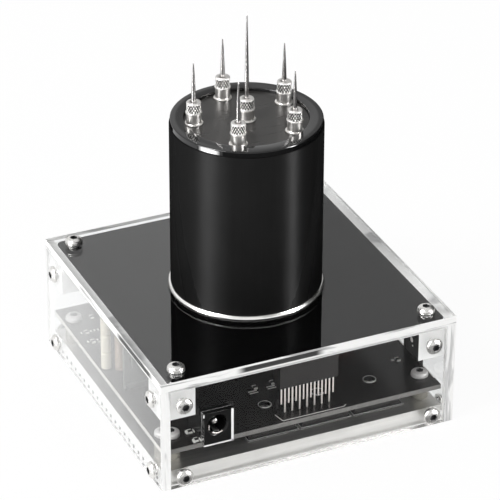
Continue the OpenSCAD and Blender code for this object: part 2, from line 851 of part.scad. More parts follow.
module filter_capacitors() {
    r = electrolytic_d / 2;
    x = board_w / 2 * electrolytic_x_share;
    y = board_d / 2 * electrolytic_y_share;
    color([0.1, 0.1, 0.16]) for (k = [0, 1])
        translate([x, y + k * electrolytic_pitch, board_top])
            rotate_extrude() polygon([[0, 0], [r, 0], [r, electrolytic_h - electrolytic_top_r],
                [r - electrolytic_top_r, electrolytic_h], [0, electrolytic_h]]);
}

module tank_capacitors() {
    color([0.75, 0.2, 0.12]) for (k = [0 : film_n - 1])
        box_on(board_w / 2 * film_x_share, board_d / 2 * film_y_share + k * film_pitch, board_top,
            film_w, film_t, film_h);
}

module control_chips() {
    color([0.1, 0.1, 0.1]) for (p = soic_place_shares) {
        x = board_w / 2 * p[0];
        y = board_d / 2 * p[1];
        box_on(x, y, board_top + soic_foot_t, soic_w, soic_d, soic_t - soic_foot_t);
        for (side = [-1, 1], k = [0 : soic_foot_n - 1])
            box_on(x + (k - (soic_foot_n - 1) / 2) * soic_pitch, y + side * soic_d / 2, board_top,
                soic_foot_w, soic_foot_l, 2 * soic_foot_t);
    }
}

module chip_resistors() {
    color([0.85, 0.85, 0.82]) {
        for (p = resistor_place_shares)
            chip_resistor(board_w / 2 * p[0], board_d / 2 * p[1]);
        for (k = [0, 1])
            chip_resistor(jack_cx - jack_w / 2 - resistor_w,
                jack_front + socket_part_y + k * socket_part_pitch);
    }
}

module chip_resistor(x, y) {
    box_on(x, y, board_top, resistor_w, resistor_l, resistor_t);
}

// Coil on top of the case
module base_ring() {
    color([0.85, 0.85, 0.87]) at_coil() translate([0, 0, case_h]) difference() {
        cylinder(h = ring_h, r = sleeve_d / 2 + ring_lip, $fn = 128);
        translate([0, 0, -cut]) cylinder(h = ring_h + 2 * cut, r = ring_in_r, $fn = 128);
    }
}

module coil_base() {
    tap_end = wall_h + coil_screw_len + tap_spare;
    color([0.15, 0.15, 0.15]) difference() {
        at_coil() translate([0, 0, case_h]) {
            cylinder(h = base_h, r = base_r);
            cylinder(h = base_h + boss_h, r = boss_r);
        }
        at_coil() wire_holes(case_h, base_h);
        at_coil() for (i = [0 : coil_screw_n - 1])
            rotate(coil_screw_turn + i * 360 / coil_screw_n)
                translate([coil_screw_r, 0, case_h - cut])
                    cylinder(h = tap_end - case_h + cut, r = tapped_r);
    }
}

module coil_screws() {
    color([0.8, 0.8, 0.8]) at_coil() for (i = [0 : coil_screw_n - 1])
        rotate(coil_screw_turn + i * 360 / coil_screw_n)
            translate([coil_screw_r, 0, wall_h]) rotate([180, 0, 0]) button_screw(coil_screw_len);
}

// A plain tube on the coil's axis
module coil_tube(z, h, r_out, r_in) {
    at_coil() translate([0, 0, z]) difference() {
        cylinder(h = h, r = r_out);
        translate([0, 0, -cut]) cylinder(h = h + 2 * cut, r = r_in);
    }
}

module secondary_former() {
    color([0.88, 0.88, 0.84]) coil_tube(base_top, former_top - base_top, former_r, former_in_r);
}

module secondary_winding() {
    color([0.7, 0.35, 0.15])
        coil_tube(base_top + winding_low, winding_h, winding_r, former_r + winding_gap);
}

// The winding's two ends: one down to the board and one up to the plate under the electrodes
module secondary_leads() {
    tail = winding_low / 2;
    winding_top = base_top + winding_low + winding_h;
    low = board_bottom - solder_h;
    color([0.7, 0.35, 0.15]) at_coil() rotate(secondary_angle) translate([secondary_lead_r, 0, 0]) {
        translate([0, 0, low]) cylinder(h = base_top + winding_low + tail - low, r = lead_wire_r);
        translate([0, 0, winding_top - tail])
            cylinder(h = contact_bottom - winding_top + tail, r = lead_wire_r);
    }
}

module primary_former() {
    color([0.2, 0.2, 0.2])
        coil_tube(base_top, primary_former_h, primary_in_r + primary_wall, primary_in_r);
}

// Points of the primary wire, each as radius, angle and height
primary_route = concat(
    [[primary_r, primary_start, board_bottom - solder_h],
        [primary_r, primary_start, primary_z - primary_bend_r]],
    [for (k = [1 : primary_bend_steps]) let (p = 90 * k / primary_bend_steps)
        [primary_r, primary_start + bend_angle(primary_r) * (1 - cos(p)),
            primary_z - primary_bend_r * (1 - sin(p))]],
    [for (k = [1 : primary_turns * primary_steps]) let (t = k / primary_steps)
        [primary_r, primary_helix_start + 360 * t, primary_z + t * primary_pitch]],
    [for (k = [1 : primary_bend_steps]) let (t = k / primary_bend_steps)
        [primary_r + (primary_out_r - primary_r) * (1 - cos(180 * t)) / 2,
            primary_helix_end + primary_over * t, primary_high_z]],
    [for (k = [1 : primary_bend_steps]) let (p = 90 * k / primary_bend_steps)
        [primary_out_r, primary_helix_end + primary_over + bend_angle(primary_out_r) * sin(p),
            primary_high_z - primary_bend_r * (1 - cos(p))]],
    [for (k = [1 : primary_drop_steps]) let (t = k / primary_drop_steps, low = board_bottom - solder_h)
        [primary_out_r, primary_end, (primary_high_z - primary_bend_r) * (1 - t) + low * t]]);

function round_point(q) = [q[0] * cos(q[1]), q[0] * sin(q[1]), q[2]];
function unit(v) = v / norm(v);

// One ring of the wire's skin at a point, square to the wire
function wire_ring(pts, i) = let (
        last = len(pts) - 1,
        t = unit(pts[min(i + 1, last)] - pts[max(i - 1, 0)]),
        out = unit([pts[i][0], pts[i][1], 0]),
        n = unit(out - (out * t) * t),
        b = cross(t, n))
    [for (s = [0 : primary_sides - 1]) let (a = 360 * s / primary_sides)
        pts[i] + primary_wire_d / 2 * (cos(a) * n + sin(a) * b)];

function wire_faces(rings, n) = concat(
    [for (i = [0 : rings - 2], s = [0 : n - 1]) [i * n + s, (i + 1) * n + s, i * n + (s + 1) % n]],
    [for (i = [0 : rings - 2], s = [0 : n - 1])
        [(i + 1) * n + s, (i + 1) * n + (s + 1) % n, i * n + (s + 1) % n]],
    [for (s = [1 : n - 2]) [0, s, s + 1]],
    [for (s = [1 : n - 2]) let (e = (rings - 1) * n) [e, e + s + 1, e + s]]);

module primary_winding() {
    pts = [for (q = primary_route) round_point(q)];
    rings = len(pts);
    color([0.72, 0.38, 0.16]) at_coil()
        polyhedron([for (i = [0 : rings - 1]) each wire_ring(pts, i)],
            wire_faces(rings, primary_sides));
}

module outer_sleeve() {
    color([0.08, 0.08, 0.08]) coil_tube(ring_top, sleeve_h, sleeve_d / 2, sleeve_in_r, $fn = 128);
}

// Cap: a rounded rim, a recess on top, and a skirt that fits inside the sleeve
module top_cap() {
    r = sleeve_d / 2;
    edge = [for (a = [0 : 15 : 90])
        [r - cap_round + cap_round * cos(a), cap_top - cap_round + cap_round * sin(a)]];
    color([0.07, 0.07, 0.07]) difference() {
        at_coil() {
            rotate_extrude($fn = 128) polygon(concat([[0, sleeve_top], [r, sleeve_top]], edge,
                [[0, cap_top]]));
            translate([0, 0, sleeve_top - cap_inner_depth])
                cylinder(h = cap_inner_depth + cap_h / 2, r = cap_spigot_r);
        }
        at_coil() translate([0, 0, disc_bottom]) cylinder(h = recess_depth + disc_t + cut, r = recess_r);
        at_coil() translate([0, 0, sleeve_top - cap_inner_depth - cut])
            cylinder(h = floor_bottom - sleeve_top + cap_inner_depth + cut,
                r = cap_spigot_r - cap_spigot_wall);
        stud_holes(floor_bottom, cap_floor_t);
    }
}

module stud_holes(z, h) {
    at_every_electrode() translate([0, 0, z - cut])
        cylinder(h = h + 2 * cut, r = stud_r + stud_clear, $fn = 32);
}

module electrode_disc() {
    color([0.2, 0.2, 0.2]) difference() {
        at_coil() translate([0, 0, disc_bottom]) cylinder(h = disc_t, r = recess_r - disc_gap);
        stud_holes(disc_bottom, disc_t);
    }
}

module contact_plate() {
    color([0.8, 0.65, 0.3]) difference() {
        at_coil() translate([0, 0, contact_bottom]) cylinder(h = contact_t, r = contact_r);
        stud_holes(contact_bottom, contact_t);
    }
}

module stud_nuts() {
    color([0.8, 0.65, 0.3]) at_every_electrode() translate([0, 0, contact_bottom - stud_nut_h])
        difference() {
            cylinder(h = stud_nut_h, d = stud_nut_af / cos(30), $fn = 6);
            translate([0, 0, -cut]) cylinder(h = stud_nut_h + 2 * cut, r = stud_r + thread_clear,
                $fn = 32);
        }
}

// A holder: a stud through the cap, a flange, a smooth barrel and a slit collet on top
module electrode_holders() {
    stud_low = contact_bottom - stud_nut_h - stud_over;
    slit_h = holder_top + spigot_h - needle_foot;
    color([0.8, 0.8, 0.8]) at_every_electrode() difference() {
        union() {
            translate([0, 0, stud_low]) cylinder(h = disc_top - stud_low + flange_t, r = stud_r);
            translate([0, 0, disc_top]) cylinder(h = flange_t, d = flange_d);
            translate([0, 0, disc_top]) cylinder(h = holder_h, d = holder_d);
            translate([0, 0, holder_top - flange_t]) cylinder(h = spigot_h + flange_t, r = spigot_r);
        }
        translate([0, 0, needle_foot]) cylinder(h = slit_h + cut, r = bore_r);
        for (a = [0, 90]) rotate(a) translate([-spigot_r - cut, -spigot_slit / 2, holder_top])
            cube([2 * (spigot_r + cut), spigot_slit, spigot_h + cut]);
    }
}

// A knurled nut: plain here, crowned on top and hollow for the collet
module collet_nut() {
    r = nut_d / 2;
    color([0.82, 0.82, 0.82]) translate([0, 0, nut_foot]) difference() {
        rotate_extrude() polygon([[0, 0], [r + nut_lip, 0], [r + nut_lip, nut_lip_h / 2],
            [r, nut_lip_h], [r, nut_h - nut_crown_h], [r * nut_crown_share, nut_h], [0, nut_h]]);
        translate([0, 0, -cut]) cylinder(h = nut_well_h + cut, r = spigot_r + running_clear);
        translate([0, 0, -cut]) cylinder(h = nut_h + 2 * cut, r = bore_r);
        translate([0, 0, nut_h - nut_mouth_h]) cylinder(h = nut_mouth_h, r1 = bore_r, r2 = nut_mouth_r);
    }
}

module centre_nut() {
    at_coil() collet_nut();
}

module left_nut() {
    at_electrode(0) collet_nut();
}

module front_nut() {
    at_electrode(1) collet_nut();
}

module right_nut() {
    at_electrode(2) collet_nut();
}

module back_right_nut() {
    at_electrode(3) collet_nut();
}

module back_left_nut() {
    at_electrode(4) collet_nut();
}

// A needle of height h above its nut, with a shank that stands in the holder's bore
module needle(h) {
    r = needle_d / 2;
    waist_h = h * needle_waist_share;
    waist_r = r * needle_waist_r_share;
    color([0.75, 0.75, 0.76]) {
        translate([0, 0, needle_foot]) cylinder(h = nut_top - needle_foot, r = r);
        translate([0, 0, nut_top]) cylinder(h = waist_h, r1 = r, r2 = waist_r);
        translate([0, 0, nut_top + waist_h]) cylinder(h = h - waist_h, r1 = waist_r, r2 = tip_d / 2);
    }
}

module centre_needle() {
    at_coil() needle(centre_needle_h);
}

module left_needle() {
    at_electrode(0) needle(side_needle_h);
}

module front_needle() {
    at_electrode(1) needle(side_needle_h);
}

module right_needle() {
    at_electrode(2) needle(side_needle_h);
}

module back_right_needle() {
    at_electrode(3) needle(side_needle_h);
}

module back_left_needle() {
    at_electrode(4) needle(side_needle_h);
}

// Least gap between two turns of the primary wire, measured on its points
function primary_gap(pts) = min([for (i = [0 : len(pts) - 1], j = [0 : len(pts) - 1])
    if (j - i >= primary_steps / 2) norm(pts[i] - pts[j])]) - primary_wire_d;
echo(primary_gap = primary_gap([for (q = primary_route) round_point(q)]));

top_plate();
top_panel();
left_plate();
right_plate();
front_plate();
back_plate();
corner_blocks();
top_screws();
front_screws();
back_screws();
left_screws();
right_screws();
heat_sink();
board_standoffs();
board_screws();
main_board();
dc_jack();
jack_contacts();
power_chip();
chip_leads();
transistors();
transistor_leads();
insulating_pads();
transistor_screws();
receiver_board();
driver_module();
antenna_wire();
insulator_beads();
choke();
filter_capacitors();
tank_capacitors();
control_chips();
chip_resistors();
base_ring();
coil_base();
coil_screws();
secondary_former();
secondary_winding();
secondary_leads();
primary_former();
primary_winding();
outer_sleeve();
top_cap();
electrode_disc();
contact_plate();
stud_nuts();
electrode_holders();
centre_nut();
left_nut();
front_nut();
right_nut();
back_right_nut();
back_left_nut();
centre_needle();
left_needle();
front_needle();
right_needle();
back_right_needle();
back_left_needle();
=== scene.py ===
"""Looks of the desktop resonant transformer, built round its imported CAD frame."""

import math

import bmesh
import bpy
from mathutils import Matrix, Vector


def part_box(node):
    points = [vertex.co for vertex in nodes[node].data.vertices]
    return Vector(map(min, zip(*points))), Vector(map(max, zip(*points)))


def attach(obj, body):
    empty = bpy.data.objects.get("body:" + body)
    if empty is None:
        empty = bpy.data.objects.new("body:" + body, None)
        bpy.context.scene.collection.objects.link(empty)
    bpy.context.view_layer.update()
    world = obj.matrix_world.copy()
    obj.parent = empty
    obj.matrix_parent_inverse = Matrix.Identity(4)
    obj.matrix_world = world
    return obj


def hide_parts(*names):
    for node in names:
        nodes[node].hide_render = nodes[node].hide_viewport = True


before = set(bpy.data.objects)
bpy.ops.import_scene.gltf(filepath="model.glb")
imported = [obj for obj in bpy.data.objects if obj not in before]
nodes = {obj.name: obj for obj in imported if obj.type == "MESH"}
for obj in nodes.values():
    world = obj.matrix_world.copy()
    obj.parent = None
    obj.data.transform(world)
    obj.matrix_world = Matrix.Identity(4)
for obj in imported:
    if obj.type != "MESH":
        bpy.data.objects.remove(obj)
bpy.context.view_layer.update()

MM = 0.001
# The camera, fitted to the photograph: its angles in radians, place in millimetres, focal length in pixels
AZIMUTH, ELEVATION, ROLL = 0.423588781, 0.522077938, 0.00330528043
CAMERA_AT = (-349.187, -776.965, 538.549)
FOCAL_PX, FRAME_PX, SENSOR = 3101.69933, 500, 36


def arc(x, y, r, degrees, *z):
    """Points round a centre, at the given angles."""
    return [(x + r * math.cos(a), y + r * math.sin(a)) + z for a in map(math.radians, degrees)]


# Places and sizes of the CAD model, in millimetres
COIL = (-0.9, -1.7)
AT_COIL = (*COIL, 0)
CORNERS = [(sx, sy) for sx in (-1, 1) for sy in (-1, 1)]
FRONT_Y, SIDE_X = 48.5, 50.0
BLOCK_X, BLOCK_Y, BLOCK_FACE_X = 42.45, 40.95, 37.9
SCREW_Z = (3.6, 29.5)
TOP_SCREW, CASE_H = (42.45, 42.35), 38.7
BOARD_HALF, BOARD_HOLE = (46.5, 45.2), (42.8, 37.5)
BOARD_TOP, BOARD_LOW = 13.2, 11.6
FIN_H = 1.6
RING_TOP, SLEEVE_TOP, CAP_TOP = 39.75, 95.15, 97.15
SLEEVE_R, CAP_R, RECESS_R = 24.1, 23.8, 19.45
HOLDER_TOP, NUT_TOP, NEEDLE_FOOT = 99.85, 103.55, 97.35
ELECTRODE_RING = 16.5
ELECTRODES = {"centre": COIL}
ELECTRODES.update(zip(("left", "front", "right", "back_right", "back_left"),
                      arc(*COIL, ELECTRODE_RING, range(165, 525, 72))))
JACK_X, JACK_FRONT, JACK_AXIS_Z = -31.2, -48.3, 19.47
POWER_STEP = 18.2
POWER_HOLES = [(-9.3 + POWER_STEP * k, -33.5) for k in range(3)]
POWER_SCREW_Z = 10.9
BEADS_AT, CHOKE_AT, CANS_AT, CAN_STEP = (-44.3, 5.4014), (-40.2, 3.616), (-24.9984, 6.0116), 10


# ---------------------------------------------------------------- materials
class Tree:
    """Short calls for building a node tree."""

    def __init__(self, tree):
        self.tree = tree
        tree.nodes.clear()

    def put(self, socket, value):
        if isinstance(value, bpy.types.NodeSocket):
            self.tree.links.new(value, socket)
        else:
            socket.default_value = value

    def add(self, kind, **sockets):
        """A new node. Each key is a socket's name, or the letter i and its number."""
        node = self.tree.nodes.new(kind)
        for key, value in sockets.items():
            numbered = key[0] == "i" and key[1:].isdigit()
            self.put(node.inputs[int(key[1:]) if numbered else key.replace("_", " ")], value)
        return node

    def math(self, kind, a, b=0.0):
        node = self.add("ShaderNodeMath", i0=a, i1=b, i2=0.0)
        node.operation = kind
        return node.outputs[0]

    def times(self, a, b):
        return self.math("MULTIPLY", a, b)

    def plus(self, a, b):
        return self.math("ADD", a, b)

    def minus(self, a, b):
        return self.math("SUBTRACT", a, b)

    def most(self, a, b):
        return self.math("MAXIMUM", a, b)

    def ramp(self, value, low, high, to_low=0.0, to_high=1.0, kind="SMOOTHSTEP"):
        node = self.add("ShaderNodeMapRange", i0=value, i1=low, i2=high, i3=to_low, i4=to_high)
        node.interpolation_type = kind
        return node.outputs[0]

    def level(self, noise, low=0.0, high=1.0):
        """Spreads a noise, which mostly lies between 0.3 and 0.7, evenly from low to high."""
        return self.ramp(noise, 0.3, 0.7, low, high, "LINEAR")

    def near(self, value, middle, full, none):
        """1 up to full millimetres away from the middle, falling to 0 at none millimetres."""
        away = self.math("ABSOLUTE", self.minus(value, middle * MM))
        return self.ramp(away, full * MM, none * MM, 1.0, 0.0)

    def mix(self, factor, a, b):
        node = self.tree.nodes.new("ShaderNodeMix")
        node.data_type = "RGBA"
        for k, value in ((0, factor), (6, a), (7, b)):
            self.put(node.inputs[k], value)
        return node.outputs[2]

    def place(self, stretch=(1, 1, 1)):
        """Object coordinates, stretched."""
        coords = self.add("ShaderNodeTexCoord").outputs["Object"]
        return self.add("ShaderNodeMapping", Vector=coords, Scale=stretch).outputs[0]

    def noise(self, vector, scale, detail=3.0, rough=0.55, warp=0.0):
        return self.add("ShaderNodeTexNoise", Vector=vector, Scale=scale, Detail=detail, Roughness=rough,
                        Distortion=warp).outputs[0]

    def split(self, vector):
        return self.add("ShaderNodeSeparateXYZ", i0=vector).outputs

    def bump(self, height, distance, strength=1.0):
        """A surface normal moved by a height, over a distance in millimetres."""
        return self.add("ShaderNodeBump", Height=height, Strength=strength, Distance=distance * MM).outputs[0]


def grey(v):
    return (v, v, v, 1.0)


def shade(colour, factor):
    return tuple(min(1.0, c * factor) for c in colour[:3]) + (1.0,)


def new_material(name):
    made = bpy.data.materials.new(name)
    made.use_nodes = True
    return made, Tree(made.node_tree)


def finish(made, t, shader):
    t.add("ShaderNodeOutputMaterial", Surface=shader)
    return made


def plain_stuff(name, colour, rough=0.4, metal=0.0, spread=0.12, grain=900.0, stretch=(1, 1, 1),
                rough_spread=0.06, bump=0.0, bump_grain=0.0, specular=0.5, **constants):
    """A Principled material whose colour, roughness and bump come from noise at a real scale."""
    made, t = new_material(name)
    where = t.place(stretch)
    broad = t.noise(t.place(), grain * 0.13, 2.0)
    fine = t.noise(where, grain, 4.0)
    blend = t.level(t.plus(t.times(fine, 0.65), t.times(broad, 0.35)))
    base = t.mix(blend, shade(colour, 1 - spread), shade(colour, 1 + spread))
    uneven = t.level(fine, max(0.0, rough - rough_spread), rough + rough_spread)
    if bump:
        constants["Normal"] = t.bump(t.noise(where, bump_grain or grain, 3.0), bump)
    return finish(made, t, t.add("ShaderNodeBsdfPrincipled", Base_Color=base, Metallic=metal, IOR=1.5,
                                 Specular_IOR_Level=specular, Roughness=uneven, **constants).outputs[0])


def acrylic(name, haze_back=0.0, haze_front=0.0, mirror=1.0):
    """Clear acrylic sheet. Lamps pass straight through it, and a faint haze can lie on it."""
    made, t = new_material(name)
    spot = t.place()
    tint = (0.985, 0.99, 0.99)
    base = t.mix(t.noise(spot, 120.0, 3.0), shade(tint, 0.985), shade(tint, 1.0))
    clear = 1.0
    if haze_back or haze_front:
        along = t.ramp(t.split(spot)[1], -FRONT_Y * MM, FRONT_Y * MM, haze_front, haze_back, "LINEAR")
        clear = t.minus(1.0, t.times(along, t.level(t.noise(spot, 45.0, 2.0), 0.85, 1.15)))
    sheet = t.add("ShaderNodeBsdfPrincipled", Base_Color=base, Roughness=0.0, IOR=1.49,
                  Specular_Tint=grey(mirror), Transmission_Weight=clear)
    see = t.add("ShaderNodeBsdfTransparent", Color=grey(0.96))
    path = t.add("ShaderNodeLightPath").outputs
    through = t.most(path["Is Shadow Ray"], path["Is Diffuse Ray"])
    both = t.add("ShaderNodeMixShader", i0=through, i1=sheet.outputs[0], i2=see.outputs[0])
    return finish(made, t, both.outputs[0])


# Where the top sheet's cut edges are painted dark, as painted shade, in millimetres: the middle, and how far
# from it the dark is full and has faded out
DARK_FRONT, DARK_LEFT, DARK_HIGH = (-10.1, 11.5, 15.5), (-27.5, 11.0, 15.5), (37.1, 0.7, 1.05)


def sawn_edge(name, stretch, dark, wedge=False):
    """Cut edge of a sheet: milky white with darker streaks along it, and with wedge two dark lengths of
    painted shade.
    """
    made, t = new_material(name)
    where = t.place(stretch)
    streak = t.noise(where, 1.0, 3.0, 0.5, 0.4)
    fine = t.noise(where, 5.0, 2.0)
    base = t.mix(t.ramp(streak, 0.36, 0.46), grey(dark), (0.94, 0.94, 0.93, 1))
    base = t.mix(t.ramp(fine, 0.35, 0.65, 0.0, 0.2, "LINEAR"), base, grey(0.99))
    if wedge:
        x, y, z = t.split(t.place())
        on_front = t.ramp(y, (0.7 - FRONT_Y) * MM, (1.0 - FRONT_Y) * MM, 1.0, 0.0)
        on_left = t.ramp(x, (0.2 - SIDE_X) * MM, (0.5 - SIDE_X) * MM, 1.0, 0.0)
        inner = t.most(t.times(t.near(x, *DARK_FRONT), on_front), t.times(t.near(y, *DARK_LEFT), on_left))
        inner = t.times(t.times(inner, t.near(z, *DARK_HIGH)), 0.98)
        base = t.mix(inner, base, t.mix(streak, grey(0.012), grey(0.05)))
    p = t.add("ShaderNodeBsdfPrincipled", Base_Color=base, IOR=1.49, Specular_IOR_Level=0.25,
              Roughness=t.level(fine, 0.18, 0.32))
    return finish(made, t, p.outputs[0])


CLEAR = acrylic("acrylic_clear")
CLEAR_FRONT = acrylic("acrylic_front", mirror=0.15)
CLEAR_SIDE = acrylic("acrylic_side", haze_back=0.2, haze_front=0.02)
EDGE_FLAT = sawn_edge("acrylic_edge_level", (45, 45, 480), 0.45, wedge=True)
EDGE_UP = sawn_edge("acrylic_edge_upright", (420, 420, 38), 0.55)
WINDOW_EDGE = sawn_edge("acrylic_edge_window", (90, 90, 90), 0.8)

PANEL = plain_stuff("panel_black", (0.0022, 0.0022, 0.0023), rough=0.5, spread=0.25, grain=260, specular=0.0)
# The white blocks also glow faintly by emission, a painted light
BLOCK = plain_stuff("block_white", (0.95, 0.95, 0.94), rough=0.38, spread=0.02, grain=700, bump=0.01,
                    Emission_Color=grey(1.0), Emission_Strength=0.1)
# Painted shade for one face of a white block
BLOCK_SHADE = plain_stuff("block_shaded_face", (0.012, 0.012, 0.012), rough=0.5, spread=0.2, grain=700)
STEEL = plain_stuff("screw_steel", (0.8, 0.79, 0.77), rough=0.3, metal=1.0, spread=0.1, grain=2600,
                    rough_spread=0.06, bump=0.004)
# A darker steel for the screws' hexagon sockets, painted shade
SOCKET_PAINTED_SHADE = plain_stuff("screw_socket_painted_shade", (0.12, 0.12, 0.122), rough=0.35, metal=1.0, spread=0.2,
                          grain=2600)
SCREW = (STEEL, SOCKET_PAINTED_SHADE)
ZINC = plain_stuff("screw_zinc", (0.62, 0.61, 0.6), rough=0.5, metal=0.35, spread=0.1, grain=2600, bump=0.004)
SINK = plain_stuff("sink_brushed", (0.68, 0.67, 0.65), rough=0.34, metal=1.0, spread=0.1, grain=900,
                   stretch=(0.035, 1.0, 1.0), rough_spread=0.05, bump=0.004, bump_grain=1500)
SINK_SIDE = plain_stuff("sink_sawn_side", (0.92, 0.92, 0.91), rough=0.4, metal=0.3, spread=0.03, grain=1200)
# Painted shade for the faces in the gaps between the fins
SINK_PAINTED_SHADE = plain_stuff("sink_painted_shade_between_fins", (0.16, 0.16, 0.16), rough=0.5, metal=1.0, spread=0.15,
                        grain=1200)
# Cream nylon, darkened towards grey as painted shade
NYLON = plain_stuff("nylon_cream_grey", (0.26, 0.25, 0.215), rough=0.45, spread=0.15, grain=900)
CERAMIC = plain_stuff("ceramic_cream", (0.72, 0.68, 0.55), rough=0.3, spread=0.07, grain=1200,
                      Coat_Weight=0.4)
SOCKET = plain_stuff("socket_black", (0.006, 0.006, 0.006), rough=0.22, spread=0.2, grain=1200, bump=0.006,
                     specular=0.3)
CHIP = plain_stuff("chip_black", (0.014, 0.0115, 0.011), rough=0.42, spread=0.2, grain=2500, bump=0.01,
                   specular=0.3)
TINNED = plain_stuff("tinned", (0.8, 0.74, 0.7), rough=0.28, metal=1.0, spread=0.12, grain=2200, bump=0.01)
LEADS = plain_stuff("tinned_leads", (0.88, 0.82, 0.78), rough=0.42, metal=0.4, spread=0.1, grain=2200,
                    bump=0.01)
COPPER = plain_stuff("copper_enamel", (0.72, 0.3, 0.12), rough=0.24, metal=1.0, spread=0.15, grain=1800,
                     Coat_Weight=0.6)
CHOKE = plain_stuff("choke_brown", (0.3, 0.22, 0.15), rough=0.4, spread=0.25, grain=1600)
FILM = plain_stuff("film_red", (0.42, 0.06, 0.03), rough=0.32, spread=0.12, grain=800, Coat_Weight=0.5)
CHIPSTONE = plain_stuff("resistor_white", (0.93, 0.92, 0.89), rough=0.4, spread=0.06, grain=1500, bump=0.01)
CHROME = plain_stuff("ring_chrome", (0.92, 0.91, 0.89), rough=0.2, metal=1.0, spread=0.05, grain=1800,
                     rough_spread=0.03)
DARK_PLASTIC = plain_stuff("dark_plastic", (0.03, 0.03, 0.03), rough=0.5, spread=0.2, grain=1500, bump=0.01)
FORMER = plain_stuff("former_plastic", (0.7, 0.7, 0.66), rough=0.4, spread=0.05, grain=900)
BRASS = plain_stuff("brass", (0.78, 0.58, 0.26), rough=0.25, metal=1.0, spread=0.12, grain=1500, bump=0.004)
HOLDER = plain_stuff("holder_steel", (0.8, 0.78, 0.755), rough=0.33, metal=1.0, spread=0.08, grain=2500,
                     stretch=(1, 1, 9), rough_spread=0.05)
NEEDLE = plain_stuff("needle_steel", (0.62, 0.605, 0.6), rough=0.19, metal=1.0, spread=0.06, grain=1500,
                     stretch=(1, 1, 0.05), rough_spread=0.05, Specular_Tint=grey(0.0))
PRINT = plain_stuff("board_print", (0.8, 0.79, 0.76), rough=0.45, spread=0.15, grain=2500)
GREEN_GREY = plain_stuff("driver_board", (0.09, 0.1, 0.09), rough=0.35, spread=0.4, grain=1400, bump=0.02)
PAD = plain_stuff("thermal_pad", (0.05, 0.05, 0.052), rough=0.5, spread=0.2, grain=900)
PAD_EDGE = plain_stuff("thermal_pad_edge", (0.9, 0.9, 0.87), rough=0.4, spread=0.15, grain=900)
CAP = plain_stuff("cap_gloss", (0.006, 0.006, 0.0062), rough=0.06, spread=0.2, grain=300, rough_spread=0.02,
                  specular=0.6)
# The board's front and back edges: a darkened copy of the side edges' colour, painted shade
BOARD_EDGE_PAINTED_SHADE = plain_stuff("board_edge_painted_shade", (0.19, 0.1843, 0.1748), rough=0.6, spread=0.25, grain=2400, bump=0.02)
BOARD_SIDE = plain_stuff("board_side", (0.6, 0.582, 0.552), rough=0.6, spread=0.25, grain=2400, bump=0.02)


def sleeve_film():
    """Black gloss wrap: dark, with its shine drawn out up and down by the fine upright grain of the film."""
    made, t = new_material("sleeve_black")
    grain = t.noise(t.place((1, 1, 0.02)), 1400.0, 3.0)
    cloud = t.noise(t.place(), 90.0, 2.0)
    blend = t.plus(t.times(grain, 0.5), t.times(cloud, 0.5))
    radial = t.add("ShaderNodeTangent")
    radial.direction_type, radial.axis = "RADIAL", "Z"
    p = t.add("ShaderNodeBsdfPrincipled", Base_Color=t.mix(t.level(blend), grey(0.0165), grey(0.0205)),
              Metallic=0.42, Specular_Tint=grey(0.35), Specular_IOR_Level=0.0,
              Roughness=t.level(grain, 0.47, 0.53), Anisotropic=1.0, Anisotropic_Rotation=0.25,
              Tangent=radial.outputs[0])
    return finish(made, t, p.outputs[0])


def brushed_disc():
    """Dark disc with a fine straight brushed grain."""
    made, t = new_material("disc_brushed")
    lines = t.noise(t.place((0.03, 1, 1)), 3200.0, 3.0)
    blend = t.plus(t.times(lines, 0.7), t.times(t.noise(t.place(), 130.0, 2.0), 0.3))
    base = t.mix(t.level(blend), (0.022, 0.021, 0.02, 1), (0.036, 0.034, 0.032, 1))
    p = t.add("ShaderNodeBsdfPrincipled", Base_Color=base, IOR=1.5, Specular_IOR_Level=0.35,
              Roughness=t.level(lines, 0.27, 0.34), Normal=t.bump(lines, 0.0008))
    return finish(made, t, p.outputs[0])


def solder_mask():
    """Black circuit-board face with faint tracks under the mask."""
    made, t = new_material("board_black")
    spot = t.place()
    cloud = t.noise(spot, 200.0, 3.0)
    tracks = t.add("ShaderNodeTexVoronoi", Vector=spot, Scale=160.0)
    tracks.feature, tracks.distance = "DISTANCE_TO_EDGE", "CHEBYCHEV"
    line = t.ramp(tracks.outputs[0], 0.02, 0.05, 1.0, 0.0)
    base = t.mix(t.plus(t.times(line, 0.35), t.times(cloud, 0.6)), (0.0105, 0.0095, 0.009, 1),
                 (0.021, 0.019, 0.018, 1))
    p = t.add("ShaderNodeBsdfPrincipled", Base_Color=base, IOR=1.5, Specular_IOR_Level=0.5,
              Roughness=t.level(cloud, 0.16, 0.26), Normal=t.bump(line, 0.01, 0.4))
    return finish(made, t, p.outputs[0])


def can_wrap():
    """Dark blue-black capacitor sleeve with two dotted pale lines down it and a pale band near its foot."""
    made, t = new_material("can_sleeve")
    x, y, z = t.split(t.place())
    cloud = t.noise(t.place(), 700.0, 3.0)
    base = t.mix(cloud, (0.06, 0.06, 0.066, 1), (0.09, 0.09, 0.095, 1))
    dots = t.ramp(t.math("FRACT", t.times(z, 900.0)), 0.55, 0.6, 1.0, 0.0)
    lines = t.plus(t.near(x, -28.4, 0.2, 0.3), t.near(x, -26.4, 0.3, 0.4))
    band = t.near(z, 14.5, 0.2, 0.3)
    base = t.mix(t.most(t.times(lines, dots), band), base, (0.8, 0.8, 0.78, 1))
    p = t.add("ShaderNodeBsdfPrincipled", Base_Color=base, IOR=1.5, Roughness=t.level(cloud, 0.25, 0.35))
    return finish(made, t, p.outputs[0])


